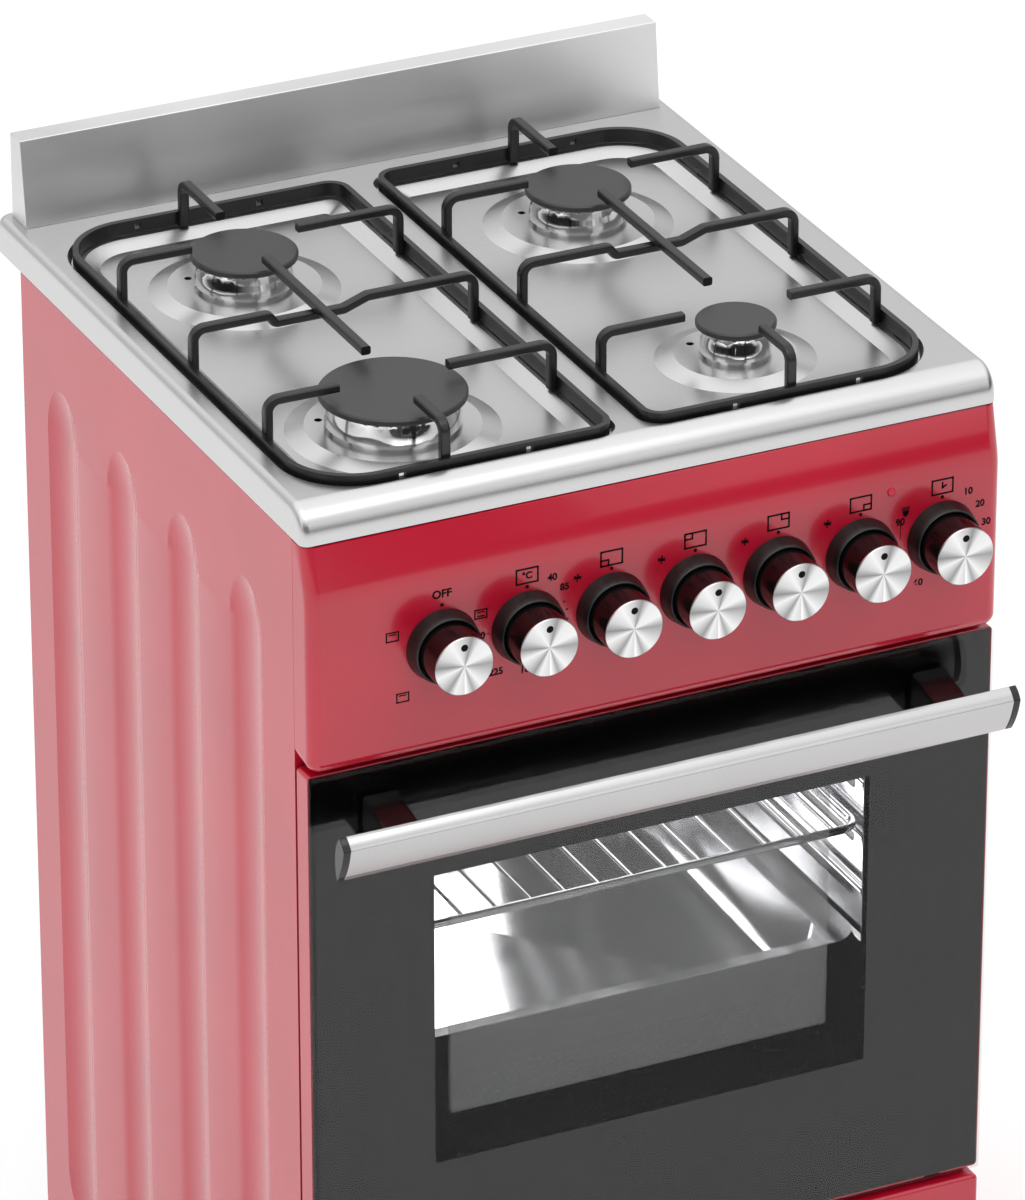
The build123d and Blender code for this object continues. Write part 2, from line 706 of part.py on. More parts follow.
# Splashback: a folded box that leans back a little, open underneath.
splash_back_y = hob_back_y - splash_setback
splash_front_y = splash_back_y - splash_thickness - splash_lean
splash_end_x = splash_width / 2
with BuildPart() as splashback:
    for skin, mode in ((0, Mode.ADD), (sheet, Mode.SUBTRACT)):
        with BuildSketch(Plane.YZ.offset(-splash_end_x + skin)):
            Polygon(
                (splash_front_y + skin, hob_z),
                (splash_back_y - skin, hob_z),
                (splash_back_y - skin, hob_z + splash_height - skin),
                (splash_front_y + splash_lean + skin, hob_z + splash_height - skin),
                align=None,
            )
        extrude(amount=2 * (splash_end_x - skin), mode=mode)
save(splashback, "splashback")

# Burners: an injector cup under the hob, a flared head with flame ports, and a flat cap.
port_z = seat_z + head_height - port_height / 2
cap_z = seat_z + head_height


def turned(burner_x, burner_y, points):
    """Ring turned about a burner's axis from radius and height pairs."""
    with BuildSketch(front_plane(burner_y)) as section:
        with BuildLine():
            Polyline([(burner_x + radius, z) for radius, z in points], close=True)
        make_face()
    revolve(section.sketch, axis=Axis((burner_x, burner_y, 0), (0, 0, 1)))


with BuildPart() as burner_cups:
    for name, (burner_x, burner_y) in burner_places.items():
        throat = throat_radius(name)
        under = seat_z - hob_sheet
        turned(burner_x, burner_y, [
            (throat - 3, under - cup_drop + 3),
            (throat - 3, seat_z + head_foot),
            (throat - fit_gap, seat_z + head_foot),
            (throat - fit_gap, under),
            (throat + cup_flange - 4, under),
            (throat + cup_flange - 4, under - 2),
            (throat, under - 2),
            (throat, under - cup_drop),
            (0, under - cup_drop),
            (0, under - cup_drop + 3),
        ])
save(burner_cups, "burner_cups")

with BuildPart() as burner_heads:
    for name, (burner_x, burner_y) in burner_places.items():
        cap_radius = burner_sizes[name][0] / 2
        head_radius = burner_sizes[name][1] / 2
        top_radius = cap_radius - 5
        foot_ring = head_radius - 4
        inner = throat_radius(name) + fit_gap
        turned(burner_x, burner_y, [
            (inner, seat_z),
            (foot_ring, seat_z),
            (foot_ring, seat_z + head_foot),
            (head_radius, seat_z + head_foot),
            (head_radius, seat_z + head_foot + 2.5),
            (top_radius, cap_z - 4),
            (top_radius, cap_z),
            (top_radius - head_wall, cap_z),
            (top_radius - head_wall, seat_z + 8),
            (inner, seat_z + 8),
        ])
        ports = round(2 * pi * top_radius / port_spacing)
        with BuildSketch(Plane.XY.offset(cap_z - port_height)):
            with Locations((burner_x, burner_y)):
                with PolarLocations(top_radius - head_wall / 2, ports):
                    Rectangle(head_wall + 2, port_width)
        extrude(amount=port_height, mode=Mode.SUBTRACT)
        spark_x, spark_y = electrode_place(name)
        rod((spark_x, spark_y, seat_z), (spark_x, spark_y, cap_z), electrode_notch, Mode.SUBTRACT)
save(burner_heads, "burner_heads")

with BuildPart() as burner_caps:
    for name, (burner_x, burner_y) in burner_places.items():
        cap_radius = burner_sizes[name][0] / 2
        lip_radius = cap_radius - 5 - head_wall - fit_gap
        turned(burner_x, burner_y, [
            (0, cap_z),
            (lip_radius - 2, cap_z),
            (lip_radius - 2, cap_z - 3),
            (lip_radius, cap_z - 3),
            (lip_radius, cap_z),
            (cap_radius - 1, cap_z),
            (cap_radius, cap_z + 1),
            (cap_radius, cap_z + cap_thickness - 1.2),
            (cap_radius - 1.2, cap_z + cap_thickness),
            (0, cap_z + cap_thickness),
        ])
        # the lip is cut away where the electrode's notch opens into the head
        spark_x, spark_y = electrode_place(name)
        rod((spark_x, spark_y, cap_z - 3), (spark_x, spark_y, cap_z), electrode_notch, Mode.SUBTRACT)
save(burner_caps, "burner_caps")

with BuildPart() as spark_electrodes:
    for name in burner_places:
        spark_x, spark_y = electrode_place(name)
        tip_z = cap_z - 2.5
        rod((spark_x, spark_y, seat_z - 16), (spark_x, spark_y, tip_z - 6), electrode_radius)
        rod((spark_x, spark_y, tip_z - 6), (spark_x, spark_y, tip_z), 0.9)
        rod((spark_x, spark_y, seat_z - hob_sheet - 2), (spark_x, spark_y, seat_z - hob_sheet), electrode_radius + 2)
save(spark_electrodes, "spark_electrodes")

# ======== Pan supports ========
strip_z = ledge_z + grate_pad
bar_z = ledge_z + grate_height - bar_height / 2
leg_z = strip_z + 0.5
grate_y0 = nose_y + grate_front
grate_y1 = grate_y0 + grate_length
front_burner_y = nose_y + burner_front
rear_burner_y = nose_y + burner_rear
leg_inset = grate_strip + bar_height / 2 - bar_sink


def bent_bar(points, across, bends):
    """Bar that rises from the frame and follows the points; across is its section's wide side."""
    with BuildLine() as path:
        FilletPolyline(*points, radius=bends)
    with BuildSketch(Plane(origin=points[0], x_dir=across, z_dir=(0, 0, 1))) as section:
        RectangleRounded(bar_width, bar_height, bar_round)
    sweep(section.sketch, path=path.wire())


def grate(middle_x, burner_x):
    """One welded pan support: an upright strip frame with bent fingers and crossing bars."""
    left = middle_x - grate_width / 2 + leg_inset
    right = middle_x + grate_width / 2 - leg_inset
    near = grate_y0 + leg_inset
    far = grate_y1 - leg_inset
    with BuildPart() as body:
        with BuildSketch(Plane.XY.offset(strip_z)):
            add(grate_outline(middle_x, 0))
            add(grate_outline(middle_x, -grate_strip), mode=Mode.SUBTRACT)
        extrude(amount=grate_strip_height)
        # small square holes in the rear and front strips
        for hole_y in (grate_y0 + grate_strip / 2, grate_y1 - grate_strip / 2):
            for hole_x in (middle_x - 45, middle_x + 45):
                with Locations((hole_x, hole_y, strip_z + grate_strip_height / 2)):
                    Box(5, grate_strip + 1, 4, mode=Mode.SUBTRACT)
        for y in (front_burner_y, rear_burner_y):
            for leg_x, tip_x in ((left, burner_x - tip_gap), (right, burner_x + tip_gap)):
                bent_bar([(leg_x, y, leg_z), (leg_x, y, bar_z), (tip_x, y, bar_z)], (0, 1, 0), bar_bend)
        for leg_y, tip_y in ((near, front_burner_y - tip_gap), (far, rear_burner_y + tip_gap)):
            points = [(burner_x, leg_y, leg_z), (burner_x, leg_y, bar_z), (burner_x, tip_y, bar_z)]
            bent_bar(points, (1, 0, 0), bar_bend)
        cross_y = nose_y + crossbar_y
        low_z = bar_z - bar_height
        bent_bar(
            [
                (left, cross_y, leg_z),
                (left, cross_y, bar_z),
                (burner_x - dip_near[1], cross_y, bar_z),
                (burner_x - dip_near[0], cross_y, low_z),
                (burner_x + dip_far[0], cross_y, low_z),
                (burner_x + dip_far[1], cross_y, bar_z),
                (right, cross_y, bar_z),
                (right, cross_y, leg_z),
            ],
            (0, 1, 0),
            [bar_bend, 4.5, 4.5, 4.5, 4.5, bar_bend],
        )
        long_start = (burner_x, cross_y + 2 - long_bar_length / 2, bar_z)
        with BuildSketch(Plane(origin=long_start, x_dir=(1, 0, 0), z_dir=(0, 1, 0))):
            RectangleRounded(bar_width, bar_height + 0.1, bar_round)
        extrude(amount=long_bar_length)
    return body.part


def grate_pads(middle_x):
    """Four rubber pads under the long sides of a frame."""
    with BuildPart() as pads:
        for side in (-1, 1):
            pad_x = middle_x + side * (grate_width / 2 - grate_strip / 2)
            for pad_y in (grate_y0 + 70, grate_y1 - 70):
                block(
                    (pad_x - grate_strip / 2, pad_x + grate_strip / 2),
                    (pad_y - 8, pad_y + 8),
                    (ledge_z, strip_z),
                )
    return pads.part


grates = {
    "left": (grate_left_x, burner_left),
    "right": (grate_right_x, burner_right),
}
for side_name, (middle_x, burner_x) in grates.items():
    grate_solid = grate(middle_x, burner_x)
    pad_solids = grate_pads(middle_x)
    with BuildPart() as grate_piece:
        add(grate_solid)
    save(grate_piece, f"grate_{side_name}")
    with BuildPart() as pad_piece:
        add(pad_solids)
    save(pad_piece, f"grate_pads_{side_name}")

# ======== Control panel ========
panel_back_y = side_front_y - fit_gap


def panel_form(skin):
    """Control panel's outside when skin is 0, its hollow when it is the sheet."""
    side_x = width / 2 - skin
    with BuildPart() as form:
        with BuildSketch(Plane.YZ.offset(-side_x)):
            Polygon(
                (front_y + panel_slant + skin, panel_top_z - skin),
                (front_y + skin, panel_top_z - panel_slant_height),
                (front_y + skin, panel_bottom_z + skin),
                (panel_back_y, panel_bottom_z + 4 + skin),
                (panel_back_y, panel_top_z - skin),
                align=None,
            )
        extrude(amount=2 * side_x)
        bend_edge = form.edges().filter_by(Axis.X).sort_by_distance((0, front_y, panel_top_z - panel_slant_height))[0]
        fillet(bend_edge, radius=panel_bend)
        low_edge = form.edges().filter_by(Axis.X).sort_by_distance((0, front_y, panel_bottom_z))[0]
        side_edges = [
            edge
            for face in form.faces().filter_by(Axis.X)
            for edge in face.edges()
            if edge.center().Y < panel_back_y - 1 and edge.center().Z < panel_top_z - skin - 1
        ]
        fillet([low_edge] + side_edges, radius=panel_round - skin)
    return form.part


panel_outside = panel_form(0)
panel_inside = panel_form(panel_sheet)
with BuildPart() as control_panel:
    add(panel_outside)
    add(panel_inside, mode=Mode.SUBTRACT)
    for knob_x in knob_places.values():
        rod((knob_x, front_y - 1, knob_z), (knob_x, front_y + 3, knob_z), stem_hole, Mode.SUBTRACT)
    lamp_z = panel_top_z - lamp_drop
    rod((lamp_x, front_y - 2, lamp_z), (lamp_x, front_y + 6, lamp_z), lamp_radius, Mode.SUBTRACT)
save(control_panel, "control_panel")

with BuildPart() as indicator_lamp:
    rod((lamp_x, front_y - lamp_stand, lamp_z), (lamp_x, front_y + 12, lamp_z), lamp_radius - 0.05)
    fillet(indicator_lamp.faces().sort_by(Axis.Y)[0].edges(), radius=1.2)
save(indicator_lamp, "indicator_lamp")

# Black rings round the knobs, standing on the panel.
bezel_inner = knob_radius + bezel_gap
bezel_radius = bezel_inner + bezel_wall
bezel_front_radius = bezel_inner + bezel_front_wall
with BuildPart() as knob_bezels:
    for knob_x in knob_places.values():
        with BuildSketch(Plane(origin=(knob_x, 0, knob_z), x_dir=(1, 0, 0), z_dir=(0, 0, 1))):
            with BuildLine():
                Polyline(
                    (bezel_inner, front_y),
                    (bezel_radius, front_y),
                    (bezel_front_radius + 0.6, front_y - bezel_depth + 1.5),
                    (bezel_front_radius - 0.3, front_y - bezel_depth),
                    (bezel_inner, front_y - bezel_depth + 0.8),
                    close=True,
                )
            make_face()
        revolve(axis=Axis((knob_x, 0, knob_z), (0, 1, 0)))
save(knob_bezels, "knob_bezels")

# Knobs: a hollow moulded body with a hub, its steel stem, and a turned metal face.
face_y = front_y - knob_front
gas_names = list(burner_places)
plug_end_y = front_y + plug_start + plug_length


def stem_section(growth):
    """Round stem with one flat, grown by a clearance."""
    Circle(stem_radius + growth)
    with Locations((0, stem_radius + growth)):
        Rectangle(4 * stem_radius, 2 * (stem_flat), mode=Mode.SUBTRACT)


for name, knob_x in knob_places.items():
    stem_end_y = plug_end_y - 6 if name in gas_names else front_y + 24
    with BuildPart() as knob:
        start_y = front_y - knob_back
        rod((knob_x, start_y, knob_z), (knob_x, face_y + face_thickness, knob_z), knob_radius)
        rod((knob_x, start_y, knob_z), (knob_x, face_y + 6, knob_z), knob_radius - knob_wall, Mode.SUBTRACT)
        rod((knob_x, start_y, knob_z), (knob_x, face_y + 6, knob_z), knob_hub)
        with BuildSketch(Plane(origin=(knob_x, start_y, knob_z), x_dir=(1, 0, 0), z_dir=(0, -1, 0))):
            stem_section(0.05)
        extrude(amount=knob_front - knob_back - 9, mode=Mode.SUBTRACT)
        with BuildSketch(Plane(origin=(knob_x, stem_end_y, knob_z), x_dir=(1, 0, 0), z_dir=(0, -1, 0))):
            stem_section(0)
        extrude(amount=stem_end_y - face_y - 10)
    save(knob, f"{name}_knob")
    with BuildPart() as knob_face:
        rod((knob_x, face_y + face_thickness, knob_z), (knob_x, face_y, knob_z), knob_radius)
        chamfer(knob_face.faces().sort_by(Axis.Y)[0].edges(), length=0.5)
    save(knob_face, f"{name}_knob_face")

# ======== Gas train ========
tap_front_y = front_y + panel_sheet
tap_back_y = front_y + tap_length
with BuildPart() as gas_taps:
    for name in gas_names:
        knob_x = knob_places[name]
        rod((knob_x, tap_front_y, knob_z), (knob_x, tap_back_y, knob_z), tap_radius)
        block(
            (knob_x - 20, knob_x + 20),
            (tap_front_y, tap_front_y + 3),
            (knob_z - 9, knob_z + 9),
        )
        block(
            (knob_x - saddle / 2, knob_x + saddle / 2),
            (pipe_y - saddle / 2, pipe_y + saddle / 2),
            (pipe_z - saddle / 2, knob_z),
        )
        pipe_start = (knob_x - saddle / 2, pipe_y, pipe_z)
        rod(pipe_start, (knob_x + saddle / 2, pipe_y, pipe_z), pipe_radius + 0.05, Mode.SUBTRACT)
        plug_back = (knob_x, plug_end_y, knob_z)
        rod((knob_x, tap_front_y, knob_z), (knob_x, front_y + plug_start, knob_z), stem_hole, Mode.SUBTRACT)
        plug_front = (knob_x, front_y + plug_start, knob_z)
        rod(plug_front, plug_back, plug_radius + run_gap, Mode.SUBTRACT)
save(gas_taps, "gas_taps")

for name in gas_names:
    knob_x = knob_places[name]
    with BuildPart() as tap_plug:
        plug_face_y = front_y + plug_start + fit_gap
        rod((knob_x, plug_face_y, knob_z), (knob_x, plug_end_y - fit_gap, knob_z), plug_radius)
        with BuildSketch(Plane(origin=(knob_x, plug_end_y - 1.5, knob_z), x_dir=(1, 0, 0), z_dir=(0, -1, 0))):
            stem_section(run_gap)
        extrude(amount=plug_length, mode=Mode.SUBTRACT)
    save(tap_plug, f"{name}_tap_plug")

inlet_end_y = side_back_y + inlet_reach
with BuildPart() as gas_manifold:
    with BuildLine():
        FilletPolyline(
            (pipe_left, pipe_y, pipe_z),
            (inlet_x, pipe_y, pipe_z),
            (inlet_x, inlet_end_y - inlet_length, pipe_z),
            radius=pipe_bend,
        )
    with BuildSketch(Plane(origin=(pipe_left, pipe_y, pipe_z), z_dir=(1, 0, 0))):
        Circle(pipe_radius)
    sweep()
    rod((inlet_x, inlet_end_y - inlet_length, pipe_z), (inlet_x, inlet_end_y, pipe_z), inlet_radius)
    with BuildSketch(front_plane(inlet_end_y - inlet_length)):
        with Locations((inlet_x, pipe_z)):
            RegularPolygon(14, 6)
    extrude(amount=8)
    rod((inlet_x, inlet_end_y - 40, pipe_z), (inlet_x, inlet_end_y, pipe_z), inlet_bore, Mode.SUBTRACT)
save(gas_manifold, "gas_manifold")

cup_bottom_z = seat_z - hob_sheet - cup_drop
with BuildPart() as gas_supply_tubes:
    for name, (burner_x, burner_y) in burner_places.items():
        knob_x = knob_places[name]
        outlet_y = max(tap_back_y, pipe_y + saddle / 2)
        step_back, step_down = tube_steps[name.split("_")[0]]
        turn_y = outlet_y + step_back
        level_z = rim_z - step_down
        with BuildLine():
            FilletPolyline(
                (knob_x, outlet_y, knob_z),
                (knob_x, turn_y, knob_z),
                (knob_x, turn_y, level_z),
                (burner_x, turn_y, level_z),
                (burner_x, burner_y, level_z),
                (burner_x, burner_y, cup_bottom_z),
                radius=min(tube_bend, (knob_x - burner_x) / 2.2 if knob_x > burner_x else tube_bend),
            )
        with BuildSketch(Plane(origin=(knob_x, outlet_y, knob_z), z_dir=(0, 1, 0))):
            Circle(tube_radius)
        sweep()
save(gas_supply_tubes, "gas_supply_tubes")

# Selector switch, thermostat and timer behind their knobs.
control_sizes = {"selector": (38.0, 34.0), "thermostat": (44.0, 40.0), "timer": (46.0, 44.0)}
with BuildPart() as oven_controls:
    for name, (body_width, body_height) in control_sizes.items():
        knob_x = knob_places[name]
        block(
            (knob_x - body_width / 2, knob_x + body_width / 2),
            (tap_front_y, front_y + 34),
            (knob_z - body_height / 2 + 6, knob_z + body_height / 2 + 6),
        )
        rod((knob_x, tap_front_y, knob_z), (knob_x, front_y + 25, knob_z), stem_radius + run_gap, Mode.SUBTRACT)
save(oven_controls, "oven_controls")

# ======== Door ========
glass_y0 = front_y + glass_front
glass_y1 = glass_y0 + glass_thickness
door_x = width / 2 - door_side_gap
window_z1 = door_top_z - window_drop
window_z0 = window_z1 - window_height
with BuildPart() as door_glass:
    block((-door_x, door_x), (glass_y0, glass_y1), (door_bottom_z, door_top_z))
    fillet(door_glass.edges().filter_by(Axis.Y), radius=3)
    chamfer(door_glass.faces().sort_by(Axis.Y)[0].edges(), length=0.6)
save(door_glass, "door_glass")

hinge_y = front_y + hinge_back
hinge_z = door_bottom_z + hinge_rise
liner_y0 = door_back_y - sheet
with BuildPart() as door_frame:
    block((-door_x, door_x), (glass_y1, liner_y0), (door_bottom_z, door_top_z))
    fillet(door_frame.edges().filter_by(Axis.Y), radius=3)
    block(
        (-door_x + sheet, door_x - sheet),
        (glass_y1, liner_y0),
        (door_bottom_z + sheet, door_top_z - sheet),
        Mode.SUBTRACT,
    )
    # slots in the bottom wall that let the hinge arms through when the door is down
    for side in (-1, 1):
        block(
            (side * hinge_x - hinge_slot / 2, side * hinge_x + hinge_slot / 2),
            (glass_y1, liner_y0),
            (door_bottom_z, door_bottom_z + sheet),
            Mode.SUBTRACT,
        )
save(door_frame, "door_frame")

# Enamelled inner face of the door, with clips that hold the inner pane at its two sides.
pane_z1 = door_top_z - inner_glass_drop
pane_z0 = pane_z1 - inner_glass_height
pane_x = inner_glass_width / 2
pane_y0 = door_back_y + inner_glass_gap
pane_y1 = pane_y0 + glass_thickness
with BuildPart() as door_liner:
    block((-door_x, door_x), (liner_y0, door_back_y), (door_bottom_z, door_top_z))
    fillet(door_liner.edges().filter_by(Axis.Y), radius=3)
    chamfer(door_liner.faces().sort_by(Axis.Y)[-1].edges().sort_by(Axis.Z)[0], length=0.8)
    opening_x = window_width / 2 + window_margin
    block(
        (-opening_x, opening_x),
        (liner_y0, door_back_y),
        (window_z0 - window_margin, window_z1 + window_margin),
        Mode.SUBTRACT,
    )
    for side in (-1, 1):
        block(
            (side * hinge_x - hinge_slot / 2, side * hinge_x + hinge_slot / 2),
            (liner_y0, door_back_y),
            (door_bottom_z, hinge_z + hinge_eye + 6),
            Mode.SUBTRACT,
        )
    # channel clips above the opening grip the pane's upper edge
    for clip_x in (-pane_x + 40, pane_x - 40):
        clip_z0 = window_z1 + window_margin + 6
        block((clip_x - 15, clip_x + 15), (door_back_y, pane_y0 - 0.05), (clip_z0, pane_z1))
        block((clip_x - 15, clip_x + 15), (door_back_y, pane_y1 + 1.2), (pane_z1 + 0.2, pane_z1 + 1.4))
        block((clip_x - 15, clip_x + 15), (pane_y1 + 0.2, pane_y1 + 1.2), (clip_z0 + 4, pane_z1 + 1.4))
save(door_liner, "door_liner")

with BuildPart() as door_inner_glass:
    block((-pane_x, pane_x), (pane_y0, pane_y1), (pane_z0, pane_z1))
    fillet(door_inner_glass.edges().filter_by(Axis.Y), radius=2)
save(door_inner_glass, "door_inner_glass")

# Handle: an extruded bar with a crease along its upper front, closed by end caps.
crease_y = -depth / 2
crest_z = door_top_z - handle_drop
crease_z = crest_z - 7.6
bar_rear_y = crease_y + 14.7


def handle_section(x):
    """Leaf-shaped section through the bar at this x."""
    with BuildSketch(Plane.YZ.offset(x)) as section:
        with BuildLine():
            ThreePointArc((crease_y + 7.8, crest_z), (crease_y + 3.3, crest_z - 3.2), (crease_y, crease_z))
            ThreePointArc((crease_y, crease_z), (crease_y + 4.2, crest_z - 21.4), (crease_y + 11.3, crest_z - 34.0))
            ThreePointArc((crease_y + 11.3, crest_z - 34.0), (bar_rear_y, crest_z - 16.0), (crease_y + 7.8, crest_z))
        make_face()
    return section.sketch


bar_half = handle_length / 2 - handle_cap
with BuildPart() as handle_bar:
    extrude(handle_section(-bar_half), amount=2 * bar_half)
save(handle_bar, "handle_bar")

with BuildPart() as handle_end_caps:
    for start_x in (-bar_half - handle_cap, bar_half):
        extrude(handle_section(start_x), amount=handle_cap)
save(handle_end_caps, "handle_end_caps")

with BuildPart() as handle_brackets:
    for side in (-1, 1):
        with BuildSketch(Plane.YZ.offset(side * bracket_x - bracket_width / 2)):
            with BuildLine():
                Polyline(
                    (glass_y0, crest_z + 4),
                    (glass_y0, crest_z + 4 - bracket_height - 6),
                    (bar_rear_y - 4, crest_z - 26),
                    (bar_rear_y - 6, crest_z - 4),
                    close=True,
                )
            make_face()
        extrude(amount=bracket_width)
    fillet(handle_brackets.faces().filter_by(Axis.X).edges().filter_by(Axis.Z, reverse=True), radius=2)
    add(handle_bar.part, mode=Mode.SUBTRACT)
save(handle_brackets, "handle_brackets")

# Door side of the hinges: two cheeks with a pin, standing in the door's hollow.
cheek_in = hinge_plate / 2 + fit_gap
with BuildPart() as door_hinges:
    for side in (-1, 1):
        middle = side * hinge_x
        for start in (middle - cheek_in - hinge_cheek, middle + cheek_in):
            block(
                (start, start + hinge_cheek),
                (glass_y1 + fit_gap, liner_y0 - 3),
                (door_bottom_z + sheet, hinge_z + hinge_cheek_height),
            )
        block(
            (middle - cheek_in - hinge_cheek, middle + cheek_in + hinge_cheek),
            (glass_y1 + fit_gap, liner_y0),
            (hinge_z + 14, hinge_z + hinge_cheek_height),
        )
        pin_start = (middle - cheek_in - hinge_cheek, hinge_y, hinge_z)
        rod(pin_start, (middle + cheek_in + hinge_cheek, hinge_y, hinge_z), hinge_pin_radius)
save(door_hinges, "door_hinges")

# Cabinet side: arms that reach from the front frame to the pins.
with BuildPart() as hinge_arms:
    for side in (-1, 1):
        middle = side * hinge_x
        arm_x = (middle - hinge_plate / 2, middle + hinge_plate / 2)
        rod((arm_x[0], hinge_y, hinge_z), (arm_x[1], hinge_y, hinge_z), hinge_eye)
        block(arm_x, (hinge_y, frame_y), (hinge_z - 2.5, hinge_z + hinge_eye))
        block((middle - 9, middle + 9), (frame_y - 1.5, frame_y), (hinge_z - 2.5, hinge_z + 30))
        rod((arm_x[0], hinge_y, hinge_z), (arm_x[1], hinge_y, hinge_z), hinge_pin_radius + 0.06, Mode.SUBTRACT)
save(hinge_arms, "hinge_arms")

# ======== Drawer ========
drawer_y1 = glass_y0 + drawer_front_thickness
with BuildPart() as drawer_front:
    block((-door_x, door_x), (glass_y0, drawer_y1), (drawer_bottom_z, drawer_top_z))
    fillet(drawer_front.edges().filter_by(Axis.Y), radius=4)
    fillet(drawer_front.faces().sort_by(Axis.Y)[0].edges(), radius=3)
    offset(amount=-sheet, openings=drawer_front.faces().sort_by(Axis.Y)[-1])
save(drawer_front, "drawer_front")

box_z0 = rail_top_z + fit_gap
box_x = drawer_width / 2
box_z1 = box_z0 + drawer_box_height
box_y1 = drawer_y1 + drawer_box_depth
wall_z = (box_z0 + sheet + weld_gap, box_z1)
end_x = box_x - sheet - weld_gap
with BuildPart() as drawer_box:
    # flat sheets, spot welded where they meet
    block((-box_x, box_x), (drawer_y1, box_y1), (box_z0, box_z0 + sheet))
    for end_y in (drawer_y1, box_y1 - sheet):
        block((-end_x, end_x), (end_y, end_y + sheet), wall_z)
    for side in (-1, 1):
        wall = sorted((side * (box_x - sheet), side * box_x))
        block(wall, (drawer_y1, box_y1), wall_z)
        # ears at the front that the drawer front is screwed to
        ear = sorted((side * (box_x + weld_gap), side * (door_x - sheet)))
        block(ear, (drawer_y1, drawer_y1 + sheet), (box_z0 + 10, box_z1 - 10))
save(drawer_box, "drawer_box")
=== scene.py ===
import json
import math
import bmesh
import bpy
from mathutils import Matrix, Vector


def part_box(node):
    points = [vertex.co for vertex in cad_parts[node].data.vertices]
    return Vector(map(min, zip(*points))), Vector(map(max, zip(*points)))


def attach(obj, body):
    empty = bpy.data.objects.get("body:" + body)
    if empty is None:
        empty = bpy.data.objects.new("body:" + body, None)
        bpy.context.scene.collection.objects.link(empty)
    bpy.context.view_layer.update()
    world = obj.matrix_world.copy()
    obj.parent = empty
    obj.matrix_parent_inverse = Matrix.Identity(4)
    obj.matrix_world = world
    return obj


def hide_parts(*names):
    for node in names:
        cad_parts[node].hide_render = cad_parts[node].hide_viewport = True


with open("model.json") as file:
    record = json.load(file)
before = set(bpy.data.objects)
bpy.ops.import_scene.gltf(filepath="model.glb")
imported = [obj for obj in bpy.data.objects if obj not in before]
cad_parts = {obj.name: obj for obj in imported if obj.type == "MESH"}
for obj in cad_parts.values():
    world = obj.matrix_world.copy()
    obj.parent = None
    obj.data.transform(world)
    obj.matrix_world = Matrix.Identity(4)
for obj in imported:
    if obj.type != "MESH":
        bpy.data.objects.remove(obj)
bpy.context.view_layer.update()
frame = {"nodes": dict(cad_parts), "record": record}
nodes = frame["nodes"]
bodyOfNode = {node: body for body, names in frame["record"]["behaviour"]["bodies"].items() for node in names}
print("frame loaded:", len(nodes), "nodes")


# small helpers
def mm(value):
    return value / 1000


def toLinear(hexColour):
    channels = [int(hexColour[place:place + 2], 16) / 255 for place in (1, 3, 5)]
    return [c / 12.92 if c <= 0.04045 else ((c + 0.055) / 1.055) ** 2.4 for c in channels] + [1.0]


def addNode(material, kind, settings=None, values=None, links=None):
    # one node with its settings, fixed values and incoming links
    node = material.node_tree.nodes.new(kind)
    for name, value in (settings or {}).items():
        setattr(node, name, value)
    for name, value in (values or {}).items():
        node.inputs[name].default_value = value
    for name, socket in (links or {}).items():
        material.node_tree.links.new(socket, node.inputs[name])
    return node


def startMaterial(name, values, links=None):
    # a Principled shader joined to the output, with Object coordinates ready to use
    material = bpy.data.materials.new(name)
    material.use_nodes = True
    material.node_tree.nodes.clear()
    shader = addNode(material, "ShaderNodeBsdfPrincipled", values=values)
    addNode(material, "ShaderNodeOutputMaterial", links={"Surface": shader.outputs["BSDF"]})
    place = addNode(material, "ShaderNodeTexCoord").outputs["Object"]
    return material, shader, place


def stretched(material, place, sizes):
    # coordinates scaled so that one noise cell is this many millimetres along X, Y and Z
    scale = [1000 / size for size in sizes]
    return addNode(material, "ShaderNodeMapping", values={"Scale": scale}, links={"Vector": place}).outputs["Vector"]


def noise(material, vector, detail=2.0, roughness=0.5):
    values = {"Scale": 1.0, "Detail": detail, "Roughness": roughness}
    return addNode(material, "ShaderNodeTexNoise", values=values, links={"Vector": vector}).outputs["Fac"]


def remap(material, socket, low, high):
    values = {"From Min": 0.3, "From Max": 0.7, "To Min": low, "To Max": high}
    return addNode(material, "ShaderNodeMapRange", values=values, links={"Value": socket}).outputs["Result"]


def tint(material, socket, dark, light):
    # colour between two hex values by a 0 to 1 socket
    node = addNode(material, "ShaderNodeMix", {"data_type": "RGBA"}, links={"Factor": socket})
    node.inputs[6].default_value = toLinear(dark)
    node.inputs[7].default_value = toLinear(light)
    return node.outputs[2]


def bump(material, shader, socket, depth, strength=1.0):
    # depth is the height of the relief in millimetres
    values = {"Strength": strength, "Distance": mm(depth)}
    node = addNode(material, "ShaderNodeBump", values=values, links={"Height": socket})
    material.node_tree.links.new(node.outputs["Normal"], shader.inputs["Normal"])
    return node


def link(material, socket, shader, name):
    material.node_tree.links.new(socket, shader.inputs[name])


# materials
def vitreousEnamel(name, dark, light, roughness, peel):
    # glass frit fired on pressed steel: a deep even colour under a glassy skin with a slight orange peel
    skin = {"Roughness": roughness, "IOR": 1.58, "Coat Weight": 0.35, "Coat Roughness": 0.05}
    material, shader, place = startMaterial(name, skin)
    cloud = noise(material, stretched(material, place, (90, 90, 90)), 2)
    link(material, tint(material, remap(material, cloud, 0, 1), dark, light), shader, "Base Color")
    bump(material, shader, noise(material, stretched(material, place, (2.6, 2.6, 2.6)), 1), peel, 0.5)
    return material


